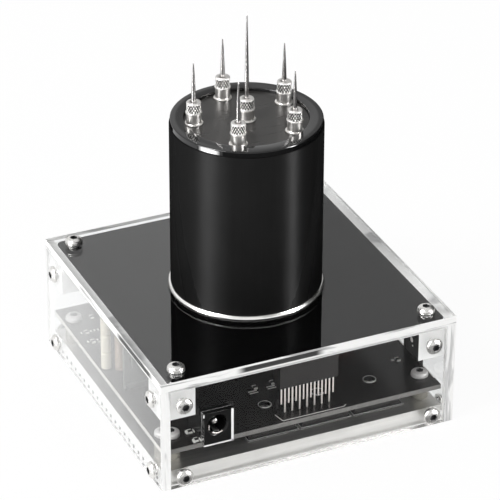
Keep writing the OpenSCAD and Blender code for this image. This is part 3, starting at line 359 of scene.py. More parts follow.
def knurled_steel():
    """Steel with a cut diamond pattern, painted dark down in the grooves as painted shade."""
    made, t = new_material("knurled_steel")
    depth = t.add("ShaderNodeAttribute")
    depth.attribute_name = "groove"
    fine = t.noise(t.place(), 2600.0, 3.0)
    bright = t.mix(fine, (0.58, 0.57, 0.555, 1), (0.68, 0.67, 0.655, 1))
    base = t.mix(t.ramp(depth.outputs["Fac"], 0.2, 0.75), bright, (0.03, 0.029, 0.028, 1))
    p = t.add("ShaderNodeBsdfPrincipled", Base_Color=base, Metallic=1.0, Roughness=t.level(fine, 0.44, 0.52))
    return finish(made, t, p.outputs[0])


KNURL = knurled_steel()
SLEEVE = sleeve_film()
DISC = brushed_disc()
BOARD = solder_mask()
CAN = can_wrap()


# ---------------------------------------------------------------- meshes
def placed(name, data):
    obj = bpy.data.objects.new(name, data)
    bpy.context.scene.collection.objects.link(obj)
    return obj


class Build:
    """Collects geometry in millimetres and makes one object of it."""

    def __init__(self):
        self.bm = bmesh.new()

    def lathe(self, profile, at=(0, 0, 0), segments=64, aim=None, closed=False, radius=None, second=()):
        """Turns a profile of (radius, height) round an axis. ("hex", half width across the flats) in place of
        a radius makes a hexagon, and radius(angle, r, z) can reshape a ring. The steps of the profile in
        second get the second material."""
        place = Matrix.Translation(Vector(at) * MM)
        if aim is not None:
            place = place @ Vector((0, 0, 1)).rotation_difference(Vector(aim)).to_matrix().to_4x4()
        rings = []
        for r, z in profile:
            if not isinstance(r, tuple) and r <= 0:
                rings.append([self.bm.verts.new(place @ Vector((0, 0, z * MM)))])
                continue
            ring = []
            for s in range(segments):
                a = 2 * math.pi * s / segments
                if isinstance(r, tuple):
                    rr = r[1] / math.cos((a % (math.pi / 3)) - math.pi / 6)
                else:
                    rr = radius(a, r, z) if radius else r
                spot = Vector((rr * math.cos(a) * MM, rr * math.sin(a) * MM, z * MM))
                ring.append(self.bm.verts.new(place @ spot))
            rings.append(ring)
        pairs = list(zip(rings, rings[1:])) + ([(rings[-1], rings[0])] if closed else [])
        for k, (low, high) in enumerate(pairs):
            if len(low) == 1 and len(high) == 1:
                continue
            for s in range(segments):
                n = (s + 1) % segments
                if len(low) == 1:
                    face = self.bm.faces.new((low[0], high[n], high[s]))
                elif len(high) == 1:
                    face = self.bm.faces.new((low[s], low[n], high[0]))
                else:
                    face = self.bm.faces.new((low[s], low[n], high[n], high[s]))
                face.material_index = int(k in second)
        return self

    def box(self, low, high, bevel=0.0, segments=2):
        made = bmesh.ops.create_cube(self.bm, size=1.0)
        mid = [(a + b) / 2 * MM for a, b in zip(low, high)]
        size = [(b - a) * MM for a, b in zip(low, high)]
        for v in made["verts"]:
            v.co = Vector([m + c * s for m, c, s in zip(mid, v.co, size)])
        if bevel:
            edges = list({e for v in made["verts"] for e in v.link_edges})
            bmesh.ops.bevel(self.bm, geom=edges, offset=bevel * MM, segments=segments, profile=0.5,
                            affect="EDGES", clamp_overlap=True)
        return self

    def path(self, points, width, z, thick=0.04, closed=False):
        """A flat raised line of the given width along points in the plane at z."""
        pts = [Vector(p) for p in points]
        count = len(pts)
        rings = []
        for k, p in enumerate(pts):
            before = pts[k - 1] if (closed or k) else None
            after = pts[(k + 1) % count] if (closed or k < count - 1) else None
            a = (p - before).normalized() if before is not None else (after - p).normalized()
            b = (after - p).normalized() if after is not None else a
            side = Vector((-(a + b).y, (a + b).x)).normalized()
            reach = width / 2 / max(0.4, side.dot(Vector((-a.y, a.x))))
            left, right = p + side * reach, p - side * reach
            rings.append([self.bm.verts.new(Vector((q.x, q.y, h)) * MM)
                          for q, h in ((left, z), (left, z + thick), (right, z + thick), (right, z))])
        for k in range(count if closed else count - 1):
            one, two = rings[k], rings[(k + 1) % count]
            for j in range(4):
                self.bm.faces.new((one[j], two[j], two[(j + 1) % 4], one[(j + 1) % 4]))
        if not closed:
            self.bm.faces.new(rings[0][::-1])
            self.bm.faces.new(rings[-1])
        return self

    def tube(self, points, r, sides=10):
        """A round tube along points in millimetres."""
        pts = [Vector(p) for p in points]
        rings, side = [], None
        for k, p in enumerate(pts):
            ahead = pts[min(k + 1, len(pts) - 1)] - pts[max(k - 1, 0)]
            ahead.normalize()
            if side is None:
                side = ahead.orthogonal().normalized()
            side = (side - ahead * side.dot(ahead)).normalized()
            up = ahead.cross(side)
            rings.append([self.bm.verts.new((p + (side * math.cos(a) + up * math.sin(a)) * r) * MM)
                          for a in (2 * math.pi * s / sides for s in range(sides))])
        for one, two in zip(rings, rings[1:]):
            for s in range(sides):
                self.bm.faces.new((one[s], one[(s + 1) % sides], two[(s + 1) % sides], two[s]))
        self.bm.faces.new(rings[0][::-1])
        self.bm.faces.new(rings[-1])
        return self

    def done(self, name, material, body="case", stands_for=(), slot=None, smooth=35):
        bmesh.ops.recalc_face_normals(self.bm, faces=self.bm.faces)
        mesh = bpy.data.meshes.new(name)
        self.bm.to_mesh(mesh)
        self.bm.free()
        return piece(name, mesh, material, body, stands_for, smooth)


def piece(name, mesh, material, body="case", stands_for=(), smooth=35):
    obj = placed(name, mesh)
    for m in material if isinstance(material, tuple) else (material,):
        mesh.materials.append(m)
    if smooth:
        mesh.shade_smooth()
        mesh.set_sharp_from_angle(angle=math.radians(smooth))
    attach(obj, body)
    if stands_for:
        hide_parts(*stands_for)
    return obj


WELD = 0.5e-6
HARD_EDGE = math.radians(28)


def dress(node, name, material, bevel=0.12, segments=2, shrink=0.0, smooth=0, sheet=None):
    """A copy of a CAD node's mesh with its hard edges rounded. With sheet, the axis along which it is thin,
    its rim gets sawn edges."""
    bm = bmesh.new()
    bm.from_mesh(nodes[node].data)
    bmesh.ops.remove_doubles(bm, verts=bm.verts, dist=WELD)
    bmesh.ops.dissolve_limit(bm, angle_limit=math.radians(1), verts=bm.verts, edges=bm.edges)
    if shrink:
        bm.normal_update()
        for v in bm.verts:
            v.co -= v.normal * shrink * MM * v.calc_shell_factor()
    if bevel:
        hard = [e for e in bm.edges if len(e.link_faces) == 2 and e.calc_face_angle(0) > HARD_EDGE]
        bmesh.ops.bevel(bm, geom=hard, offset=bevel * MM, segments=segments, profile=0.5, affect="EDGES",
                        clamp_overlap=True)
    if sheet is not None:
        mark_edges(bm, sheet)
        material = (material, EDGE_FLAT, EDGE_UP)
    mesh = bpy.data.meshes.new(name)
    bm.to_mesh(mesh)
    bm.free()
    return piece(name, mesh, material, "case", (node,), smooth)


# How near a sheet's border its rim lies, and half the width and the heights of the socket's window
RIM_DEPTH, WINDOW_HALF, WINDOW_Z = 0.4, 5.5, (12, 25.5)


def mark_edges(bm, thin):
    """Gives the sawn-edge materials to a sheet's rim, but not to its underside, and to two sides of its
    square window."""
    bm.normal_update()
    low = [min(v.co[k] for v in bm.verts) for k in range(3)]
    high = [max(v.co[k] for v in bm.verts) for k in range(3)]
    for f in bm.faces:
        if abs(f.normal[thin]) > 0.8:
            continue
        mid = f.calc_center_median()
        for k in range(3):
            if k == thin or abs(f.normal[k]) < 0.5:
                continue
            rim = min(mid[k] - low[k], high[k] - mid[k]) < RIM_DEPTH * MM and f.normal.z > -0.5
            window = (thin == 1 and abs(mid.x / MM - JACK_X) < WINDOW_HALF
                      and WINDOW_Z[0] < mid.z / MM < WINDOW_Z[1])
            if rim or (window and (f.normal.x < -0.5 or f.normal.z > 0.5)):
                f.material_index = 1 if abs(f.normal.z) > 0.5 or thin == 2 else 2


def keep(material, *names):
    """Gives CAD nodes whose shape is right their real material."""
    for name in names:
        for s in nodes[name].material_slots:
            s.material = material


SHANK_R, PITCH, WASHER_R, WASHER_H = 1.5, 0.5, 2.8, 0.6


def screw(b, at, aim, length, head_r=2.75, head_h=1.65, washer=False):
    """A button-head screw with a hexagon socket and a threaded shank."""
    at, out = Vector(at), Vector(aim)
    if washer:
        b.lathe([(1.7, 0.04), (2.76, 0.04), (WASHER_R, 0.1), (WASHER_R, 0.5), (2.72, 0.58), (1.7, 0.58)], at,
                48, aim, True)
        at = at + out * WASHER_H
    dome = [(head_r * math.cos(a), head_h * (0.24 + 0.76 * math.sin(a)))
            for a in map(math.radians, (0, 12, 25, 38, 50, 60))]
    top = dome[-1][1]
    # The socket takes the second material, darker steel as painted shade
    socket = [(("hex", 1.1), top + 0.02), (("hex", 1.0), top - 0.07), (("hex", 0.98), top - 1.0),
              (0, top - 1.1)]
    head = [(SHANK_R, 0.0), (head_r * 0.97, 0.0), (head_r, head_h * 0.05)] + dome + socket
    b.lathe(head, at, 48, aim, second=range(len(head) - len(socket), len(head)))
    thread, z = [(SHANK_R, 0.0)], 0.0
    while z > -length + PITCH:
        thread += [(1.25, z - PITCH / 2), (1.49, z - 0.44), (1.49, z - PITCH)]
        z -= PITCH
    b.lathe(thread + [(1.0, -length), (0, -length)], at, 32, aim)


# ---------------------------------------------------------------- case
for spot, stuff, thin in (("top", CLEAR, 2), ("left", CLEAR_SIDE, 0), ("right", CLEAR_SIDE, 0),
                          ("front", CLEAR_FRONT, 1), ("back", CLEAR, 1)):
    dress(spot + "_plate", spot + "_sheet", stuff, bevel=0.14, shrink=0.02, sheet=thin)
keep(PANEL, "top_panel")
blocks = dress("corner_blocks", "corner_block_set", (BLOCK, BLOCK_SHADE), bevel=0.25,
               shrink=0.02)
# The inner side of the front right block looks dark: it is painted dark, as painted shade
for face in blocks.data.polygons:
    if face.normal.x < -0.8 and 30 < face.center.x / MM < 45 and face.center.y < 0:
        face.material_index = 1
tips = Build()
tips.lathe([(0, 0.0), (0.8, 0.0), (0.9, 0.06), (0.9, 0.1), (0, 0.1)],
           (BLOCK_FACE_X - 0.04, -BLOCK_Y, SCREW_Z[1]), 24, (-1, 0, 0))
tips.lathe([(0, 0.0), (0.35, 0.0), (0.35, 0.06), (0, 0.06)], (BLOCK_FACE_X - 0.02, -41.6, 27.6), 12,
           (-1, 0, 0))
tips.done("block_face_marks", CHIPSTONE, slot="white_block")

b = Build()
for sx, sy in CORNERS:
    screw(b, (sx * TOP_SCREW[0], sy * TOP_SCREW[1], CASE_H), (0, 0, 1), 6, washer=True)
b.done("top_screw_set", SCREW, stands_for=("top_screws",), slot="screw_steel")
for side, sign in (("front", -1), ("back", 1)):
    b = Build()
    for sx in (-1, 1):
        for z in SCREW_Z:
            screw(b, (sx * BLOCK_X, sign * FRONT_Y, z), (0, sign, 0), 6)
    b.done(side + "_screw_set", SCREW, stands_for=(side + "_screws",), slot="screw_steel")
for side, sign in (("left", -1), ("right", 1)):
    b = Build()
    for sy in (-1, 1):
        for z in SCREW_Z:
            screw(b, (sign * SIDE_X, sy * BLOCK_Y, z), (sign, 0, 0), 6)
    b.done(side + "_screw_set", SCREW, stands_for=(side + "_screws",), slot="screw_steel")

# ---------------------------------------------------------------- heat sink and board
sink = dress("heat_sink", "finned_sink", (SINK, SINK_SIDE, SINK_PAINTED_SHADE))
for face in sink.data.polygons:
    at, way = face.center / MM, face.normal
    if abs(way.x) > 0.8 and abs(at.x) > 46:
        face.material_index = 1
    # The faces in the gaps between the fins are painted dark, as painted shade
    elif at.z < FIN_H + 0.3 and ((abs(way.y) > 0.8 and abs(at.y) < 44.8) or (way.z < -0.8 and at.z > 1)):
        face.material_index = 2
dress("board_standoffs", "standoff_set", NYLON, bevel=0.15)
b = Build()
for sx, sy in CORNERS:
    screw(b, (sx * BOARD_HOLE[0], sy * BOARD_HOLE[1], BOARD_TOP), (0, 0, 1), 4, head_h=1.3, washer=True)
b.done("board_screw_set", (ZINC, SOCKET_PAINTED_SHADE), stands_for=("board_screws",), slot="screw_steel")

keep(BOARD, "receiver_board")
board = dress("main_board", "circuit_board", (BOARD, BOARD_SIDE, BOARD_EDGE_PAINTED_SHADE), bevel=0.0)
low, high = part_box("main_board")
# The board's left and right edges are light, its front and back edges a darkened copy, painted shade
for face in board.data.polygons:
    at, way = face.center, face.normal
    on_side, on_front = (abs(way[k]) > 0.9 and min(abs(at[k] - low[k]), abs(at[k] - high[k])) < 0.2 * MM
                         for k in (0, 1))
    face.material_index = 1 if on_side else 2 * int(on_front)

print_z = BOARD_TOP + 0.005
board_lines, eyes, hole_rims = Build(), Build(), Build()
board_lines.path([(-8.9, -40.2), (-8.0, -44.3), (13.0, -44.4), (13.9, -43.6)], 0.28, print_z)
# A pale line along the board's right edge, a painted highlight
board_lines.path([(46.3, -41.0), (46.3, -15.0)], 0.3, print_z)
for x, y in ((40.4, -26.8), (38.9, -26.2)):
    board_lines.path(arc(x, y, 0.3, range(0, 360, 30)), 0.5, print_z, closed=True)
for x, y in POWER_HOLES:
    eyes.lathe([(2.15, 12.55), (2.85, 12.55), (2.85, 13.22), (2.15, 13.22)], (x, y, 0), 48, closed=True)
    # A thin pale rim all round each hole, and a thicker pale arc along its front side, a painted highlight
    for first, last, r in ((170, 531, 0.08), (220, 321, 0.2)):
        hole_rims.tube(arc(x, y, 2.05, range(first, last, 12), BOARD_TOP + r), r)
eyes.done("access_hole_linings", BOARD, slot="board_black")
hole_rims.done("access_hole_rims_and_painted_highlights", CHIPSTONE, slot="tinned_leads")
board_lines.done("board_silkscreen_and_painted_highlight", PRINT, slot="resistor_white")

# Small resistors, as shares of the board's half width and half depth, then two beside the socket
SMALL = [(-0.9075, 0.615), (-0.912, 0.478), (-0.869, 0.429), (-0.8, 0.796), (-0.176, -0.52), (-0.043, -0.509),
         (0.869, -0.593), (-0.43, 0.73), (0.344, 0.73), (0.688, 0.73)]
SMALL = [(BOARD_HALF[0] * x, BOARD_HALF[1] * y) for x, y in SMALL] + [(-36.95, -43.5), (-36.95, -38.5)]
bodies, ends = Build(), Build()
for x, y in SMALL:
    bodies.box((x - 0.58, y - 0.62, BOARD_TOP + 0.02), (x + 0.58, y + 0.62, BOARD_TOP + 0.56), 0.04)
    for side in (-1, 1):
        one, two = sorted((y + side * 0.58, y + side * 1.0))
        ends.box((x - 0.62, one, BOARD_TOP + 0.01), (x + 0.62, two, BOARD_TOP + 0.6), 0.08)


def solder(x, y, half_x, half_y, high, bevel=0.04):
    ends.box((x - half_x, y - half_y, BOARD_TOP + 0.01), (x + half_x, y + half_y, BOARD_TOP + high), bevel)


for x, y in ((-9.7, -25.6), (-3.3, -25.2)):
    for side in (-0.55, 0.55):
        solder(x, y + side, 1.45, 0.16, 0.2)
for x, y, half in ((-36.75, -43.9, 0.75), (-36.75, -38.6, 0.9)):
    for side in (-1, 1):
        solder(x + side * (half + 0.375), y, 0.375, 0.8, 0.6, 0.08)
for x, y in ((-40.6, 28.1), (-39.4, 28.1), (-38.2, 28.1), (-43.9, 28.1), (-40.6, 22.3), (-39.3, 22.3),
             (-43.9, 22.3)):
    solder(x, y, 0.25, 0.5, 0.2)
DIODE = (-22.6, -30.1, BOARD_TOP + 0.92)
ends.lathe([(0, 0), (0.85, 0), (0.9, 0.05), (0.9, 0.7), (0, 0.7)], DIODE, 24, (1, 0, 0))
bodies.lathe([(0, 0.7), (0.78, 0.7), (0.78, 3.9), (0, 3.9)], DIODE, 24, (1, 0, 0))
bodies.done("resistor_bodies", CHIP, slot="chip_black")
ends.done("resistor_ends", CHIPSTONE, stands_for=("chip_resistors",), slot="resistor_white")

dress("dc_jack", "power_socket", SOCKET, bevel=0.16)
keep(TINNED, "transistor_leads")
JACK_BACK = JACK_FRONT + 12.9
b = Build()
b.lathe([(0, -0.1), (1.0, -0.1), (1.0, 10.2), (0.9, 10.5), (0.6, 10.75), (0.3, 10.8), (0.25, 10.3),
         (0, 10.2)], (JACK_X, JACK_BACK, JACK_AXIS_Z), 32, (0, -1, 0))
b.box((JACK_X - 0.9, JACK_BACK, BOARD_LOW - 0.4), (JACK_X + 0.9, JACK_BACK + 0.4, JACK_AXIS_Z + 0.9), 0.05)
b.box((JACK_X - 0.95, JACK_FRONT + 1.2, JACK_AXIS_Z - 3.0),
      (JACK_X + 0.95, JACK_FRONT + 8.6, JACK_AXIS_Z - 2.75), 0.08)
b.done("socket_pin_and_spring", STEEL, stands_for=("jack_contacts",), slot="tinned_leads")
b = Build()
b.tube([(x, JACK_FRONT + 0.22, z) for x, z in arc(JACK_X, JACK_AXIS_Z, 2.95, range(-128, -51, 7))], 0.2)
b.box((JACK_X - 3.0, JACK_FRONT + 0.05, JACK_AXIS_Z - 1.3),
      (JACK_X - 2.75, JACK_FRONT + 0.4, JACK_AXIS_Z + 0.5), 0.06)
b.done("socket_contact_lip", LEADS, slot="tinned_leads")
b = Build()
right, low, high, face_y = JACK_X + 4.8, 12.9, 24.5, -FRONT_Y
b.box((right - 0.42, face_y - 0.03, low - 0.05), (right + 0.4, face_y + 0.06, high - 0.2), 0.03)
b.box((right - 9.6, face_y - 0.03, low - 0.2), (right + 0.4, face_y + 0.06, low + 0.28), 0.03)
b.box((right - 9.75, face_y - 0.02, high - 1.3), (right - 9.35, face_y + 0.05, high - 0.2), 0.03)
b.done("window_cut_edges", WINDOW_EDGE, slot="clear_acrylic")

dress("power_chip", "power_chip_body", CHIP, bevel=0.2)
leads = dress("chip_leads", "chip_lead_row", (LEADS, CHIP), bevel=0.06, shrink=0.09)
# The back part of the lead row takes the dark chip material, painted shade
LEADS_PAINTED_SHADE_FROM = -39.3
for face in leads.data.polygons:
    face.material_index = int(face.center.y / MM > LEADS_PAINTED_SHADE_FROM)
keep(CHIP, "transistors", "control_chips")
keep(STEEL, "coil_screws")
b = Build()
for x, y in POWER_HOLES:
    screw(b, (x, y, POWER_SCREW_Z), (0, 0, 1), 6, head_r=2.35, head_h=1.5)
b.done("power_screw_set", SCREW, stands_for=("transistor_screws",), slot="screw_steel")
keep(PAD, "insulating_pads")
pad_lines = Build()
low, high = ([c / MM for c in corner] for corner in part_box("insulating_pads"))
half = (high[0] - low[0] - 2 * POWER_STEP) / 2 - 0.15
for x, y in POWER_HOLES:
    pad_lines.path([(x - half, high[1] - 0.15), (x - half, low[1] + 0.15), (x + half, low[1] + 0.15),
                    (x + half, high[1] - 0.15)], 0.3, high[2] + 0.002, closed=True)
pad_lines.done("thermal_pad_edges", PAD_EDGE, slot="pad_white")
keep(GREEN_GREY, "driver_module")
keep(COPPER, "antenna_wire", "secondary_leads")
b = Build()
BEAD_H = 6.2
for k in range(3):
    low = BOARD_TOP + k * (BEAD_H + 0.1)
    b.lathe([(0.65, low), (1.15, low), (1.65, low + 0.4), (1.65, low + 5.8), (1.15, low + BEAD_H),
             (0.65, low + BEAD_H)], (*BEADS_AT, 0), 48, closed=True)
b.done("ceramic_bead_stack", CERAMIC, stands_for=("insulator_beads",), slot="ceramic")
CHOKE_TURNS, CHOKE_WOUND = 30, 13.0
profile = [(0, 0), (1.75, 0), (1.75, 1.0)]
for k in range(CHOKE_TURNS + 1):
    z = 1.0 + CHOKE_WOUND * k / CHOKE_TURNS
    profile += [(1.52, z), (1.74, min(z + CHOKE_WOUND / CHOKE_TURNS / 2, 14.0))]
Build().lathe(profile + [(1.75, 14.0), (1.75, 15.0), (0, 15.0)], (*CHOKE_AT, BOARD_TOP), 40).done(
    "wound_choke", CHOKE, stands_for=("choke",), slot="choke_brown")
b = Build()
for k in range(2):
    b.lathe([(0, 0), (3.8, 0), (4.0, 0.2), (4.0, 0.9), (3.75, 1.2), (3.75, 1.4), (4.0, 1.7), (4.0, 11.4),
             (3.8, 11.85), (3.4, 12.0), (3.3, 11.9), (0, 11.9)],
            (CANS_AT[0], CANS_AT[1] + CAN_STEP * k, BOARD_TOP), 48)
b.done("capacitor_cans", CAN, stands_for=("filter_capacitors",), slot="can_sleeve")
dress("tank_capacitors", "film_capacitor_row", FILM, bevel=0.8, segments=5, smooth=25)

# ---------------------------------------------------------------- coil
Build().lathe([(22.0, 38.71), (24.78, 38.71), (24.85, 38.8), (24.82, 38.92), (24.56, 39.6), (24.46, 39.71),
               (24.34, RING_TOP), (22.0, RING_TOP)], AT_COIL, 256, closed=True).done(
    "chrome_ring", CHROME, stands_for=("base_ring",), slot="ring_chrome", smooth=50)
keep(DARK_PLASTIC, "coil_base", "primary_former")
keep(FORMER, "secondary_former")
Build().lathe([(22.1, RING_TOP + 0.03), (24.0, RING_TOP + 0.03), (SLEEVE_R, RING_TOP + 0.13),
               (SLEEVE_R, SLEEVE_TOP - 0.11), (24.04, SLEEVE_TOP - 0.03), (22.1, SLEEVE_TOP - 0.03)],
              AT_COIL, 256, closed=True).done(
    "black_sleeve", SLEEVE, stands_for=("outer_sleeve",), slot="coil_black", smooth=50)

ROUND = 0.4
cap_skirt = [(20.0, SLEEVE_TOP - 5), (22.0, SLEEVE_TOP - 5), (22.0, SLEEVE_TOP), (23.7, SLEEVE_TOP),
             (23.76, 95.2), (CAP_R, 95.4), (CAP_R, 95.44), (CAP_R, 96.7)]
cap_recess = [(19.62, CAP_TOP), (19.5, 97.11), (RECESS_R, 97.0), (RECESS_R, SLEEVE_TOP), (0, SLEEVE_TOP),
              (0, SLEEVE_TOP - 2), (20.0, SLEEVE_TOP - 2)]
Build().lathe(cap_skirt + arc(CAP_R - ROUND, CAP_TOP - ROUND, ROUND, range(0, 91, 10)) + cap_recess, AT_COIL,
              256, closed=True).done(
    "cap_with_recess", CAP, stands_for=("top_cap",), slot="coil_black", smooth=50)
keep(DISC, "electrode_disc")
keep(BRASS, "contact_plate", "stud_nuts")


def coil_point(r, degrees, z):
    return arc(*COIL, r, [degrees], z)[0]


# The primary's six turns, with the wire's way in from the board and its way back outside them
TURN_R, OUTER_R, WIRE_R = 19.85, 21.1, 0.4
TURN_FOOT, TURN_PITCH, FIRST_TURN = 46.1, 1.5, 104.33
turns = [coil_point(TURN_R, FIRST_TURN + 6 * k, TURN_FOOT + TURN_PITCH * k / 60) for k in range(6 * 60 + 1)]
inward = [coil_point(TURN_R, 100, z) for z in (11.1, 25, 40, 44.6)]
step = [coil_point(r, FIRST_TURN + 6 * 360 + d, 55.1)
        for r, d in ((20.05, 3), (20.48, 6), (20.9, 9), (OUTER_R, 12))]
outward = [coil_point(OUTER_R, 2280.4, z) for z in (53.6, 50, 40, 25, 11.1)]
Build().tube(inward + turns + step + outward, WIRE_R, 12).done(
    "primary_turns", COPPER, stands_for=("primary_winding",), slot="copper", smooth=60)
# The secondary's fine winding, as close ribs on its tube
RIB, WOUND_FOOT, WOUND_H = 0.5, 47.7, 40
ribs = []
for k in range(int(WOUND_H / RIB)):
    low = WOUND_FOOT + k * RIB
    ribs += [(17.6, low), (17.7, low + RIB / 2)]
Build().lathe([(17.36, WOUND_FOOT)] + ribs + [(17.6, WOUND_FOOT + WOUND_H), (17.36, WOUND_FOOT + WOUND_H)],
              AT_COIL, 128, closed=True).done(
    "fine_winding", COPPER, stands_for=("secondary_winding",), slot="copper", smooth=60)

# ---------------------------------------------------------------- electrodes
b = Build()
for x, y in ELECTRODES.values():
    b.lathe([(0.8, 97.35), (0.8, 102.4), (1.4, 102.4), (1.5, 102.3), (1.5, 99.86), (2.2, 99.86), (2.35, 99.7),
             (2.35, 96.62), (2.42, 96.54), (2.8, 96.5), (2.9, 96.42), (2.9, 96.24), (2.84, 96.16),
             (1.0, 96.16), (1.0, 90.4), (0, 90.4), (0, 97.35)], (x, y, 0), 64)
b.done("polished_holders", HOLDER, stands_for=("electrode_holders",), slot="holder_steel")

# The knurl: diamonds round the nut and their height, the band that they cover, its radius and depth
CELLS, ROW = 16, 1.5
BAND_LOW, BAND_HIGH, NUT_R, CUT = 0.42, 3.3, 2.3, 0.19
BAND_ROWS = 34
BAND_STEP = (BAND_HIGH - BAND_LOW) / BAND_ROWS


def knurl(angle, r, z):
    """Radius of the nut's diamond knurl at an angle and height above its foot."""
    if r != NUT_R or not BAND_LOW < z < BAND_HIGH:
        return r
    u = CELLS * angle / (2 * math.pi)
    a, b = (u + z / ROW) % 1, (u - z / ROW) % 1
    tri = min(1 - abs(2 * a - 1), 1 - abs(2 * b - 1))
    fade = min(1, (z - BAND_LOW) / 0.1, (BAND_HIGH - z) / 0.1)
    return NUT_R - CUT * fade * (1 - min(1.0, 1.4 * tri))


NEEDLE_R, TAPER_STEPS = 0.75, 25
for spot, (x, y) in ELECTRODES.items():
    band = [(NUT_R, BAND_LOW + BAND_STEP * k) for k in range(BAND_ROWS + 1)]
    foot = [(1.6, 0.0), (2.5, 0.02), (2.58, 0.08), (2.58, 0.24), (2.5, 0.32), (NUT_R, 0.38)]
    crown = [(NUT_R, 3.36), (2.29, 3.45), (2.24, 3.56), (2.14, 3.66), (2.0, 3.7), (1.3, 3.7), (1.22, 3.62),
             (0.82, 3.2), (0.82, 2.8), (1.6, 2.8)]
    nut = Build().lathe(foot + band + crown, (x, y, HOLDER_TOP), 192, closed=True, radius=knurl).done(
        spot + "_knurled_nut", KNURL, spot + "_nut", (spot + "_nut",), "knurled_steel", smooth=30)
    # The groove depth darkens the nut's colour, painted shade
    groove = nut.data.attributes.new("groove", "FLOAT", "POINT")
    for k, v in enumerate(nut.data.vertices):
        out = math.hypot(v.co.x / MM - x, v.co.y / MM - y)
        cut = BAND_LOW < v.co.z / MM - HOLDER_TOP < BAND_HIGH and out > 2.0
        groove.data[k].value = min(1.0, (NUT_R - out) / CUT) if cut else 0.0
    high = 29.1 if spot == "centre" else 13.7
    shape = [(0, NEEDLE_FOOT), (0.7, NEEDLE_FOOT), (NEEDLE_R, NEEDLE_FOOT + 0.05), (NEEDLE_R, NUT_TOP)]
    for s in (k / TAPER_STEPS for k in range(1, TAPER_STEPS)):
        shape.append((NEEDLE_R - 0.3815 * s - 0.2485 * s * s, NUT_TOP + high * s))
    shape += [(0.1, NUT_TOP + high - 0.06), (0, NUT_TOP + high)]
    Build().lathe(shape, (x, y, 0), 32).done(
        spot + "_spike", NEEDLE, spot + "_needle", (spot + "_needle",), "needle_steel", smooth=60)


# ---------------------------------------------------------------- stage
def stage_mesh(name, points, material, faces=((0, 1, 2, 3),), shine_only=True):
    """A piece of the studio. With shine_only it is a card that is met only as a reflection."""
    mesh = bpy.data.meshes.new(name)
    mesh.from_pydata([Vector(p) * MM for p in points], [], faces)
    mesh.materials.append(material)
    obj = placed(name, mesh)
    if shine_only:
        obj.visible_camera = obj.visible_diffuse = obj.visible_transmission = obj.visible_shadow = False


def floor_white():
    made, t = new_material("floor_white")
    paper = t.mix(t.noise(t.place(), 12.0, 3.0), grey(0.9), grey(0.93))
    lit = t.add("ShaderNodeBsdfDiffuse", Color=paper)
    glow = t.add("ShaderNodeEmission", Color=grey(1.0), Strength=1.0)
    path = t.add("ShaderNodeLightPath").outputs
    seen = t.most(path["Is Camera Ray"], t.most(path["Is Glossy Ray"], path["Is Transmission Ray"]))
    both = t.add("ShaderNodeMixShader", i0=t.times(seen, 0.93), i1=lit.outputs[0], i2=glow.outputs[0])
    return finish(made, t, both.outputs[0])


FLOOR_HALF, FLOOR_Z = 3000, -0.02
stage_mesh("floor", [(-FLOOR_HALF, -FLOOR_HALF, FLOOR_Z), (FLOOR_HALF, -FLOOR_HALF, FLOOR_Z),
                     (FLOOR_HALF, FLOOR_HALF, FLOOR_Z), (-FLOOR_HALF, FLOOR_HALF, FLOOR_Z)],
           floor_white(), shine_only=False)


def around(beta, distance, z=0.0):
    """A point beta degrees round the coil from the way to the camera, toward the right of the photo."""
    back = Vector((-math.sin(AZIMUTH), -math.cos(AZIMUTH), 0))
    right = Vector((math.cos(AZIMUTH), -math.sin(AZIMUTH), 0))
    a = math.radians(beta)
    return Vector((*COIL, z)) + (back * math.cos(a) + right * math.sin(a)) * distance


def heading(beta):
    """The level direction from the coil to such a point."""
    return around(beta, 1.0) - around(beta, 0.0)


def glow_card(name, start, end, strength, low=10, high=520, distance=520):
    """A softbox face between two angles, bright in the middle and fading to its upright edges."""
    made, t = new_material(name + "_glow")
    u = t.split(t.add("ShaderNodeTexCoord").outputs["Generated"])
    across = t.math("ABSOLUTE", t.minus(t.times(u[1], 2.0), 1.0))
    fall = t.ramp(across, 0.0, 1.0, strength, 0.0)
    glow = finish(made, t, t.add("ShaderNodeEmission", Color=grey(1.0), Strength=fall).outputs[0])
    one, two = around(start, distance), around(end, distance)
    stage_mesh(name, [(one.x, one.y, low), (two.x, two.y, low), (two.x, two.y, high), (one.x, one.y, high)],
               glow)


def table_card(name, start, end, near, far, material, z=0.01):
    """A card on the table, between two angles and two distances round the coil."""
    steps = 24
    ring = [around(start + (end - start) * k / steps, near, z) for k in range(steps + 1)]
    ring += [around(end + (start - end) * k / steps, far, z) for k in range(steps + 1)]
    back = 2 * steps
    stage_mesh(name, ring, material, [(k, k + 1, back - k, back + 1 - k) for k in range(steps)])


def card_stuff(name, level):
    made, t = new_material(name)
    paper = t.mix(t.noise(t.place(), 20.0, 2.0), grey(level * 0.9), grey(level * 1.1))
    return finish(made, t, t.add("ShaderNodeBsdfDiffuse", Color=paper).outputs[0])


def wedge_glow(name, middle, half, strength):
    """Light that is brightest along one direction from the coil and fades to both sides of it."""
    made, t = new_material(name)
    x, y, z = t.split(t.add("ShaderNodeTexCoord").outputs["Object"])
    x, y = t.minus(x, COIL[0] * MM), t.minus(y, COIL[1] * MM)
    ahead, across = (t.plus(t.times(x, aim.x), t.times(y, aim.y))
                     for aim in (heading(middle), heading(middle + 90)))
    turn = t.math("ABSOLUTE", t.math("ARCTAN2", across, ahead))
    fall = t.ramp(turn, math.radians(half) * 0.4, math.radians(half), strength, 0.0)
    return finish(made, t, t.add("ShaderNodeEmission", Color=grey(1.0), Strength=fall).outputs[0])


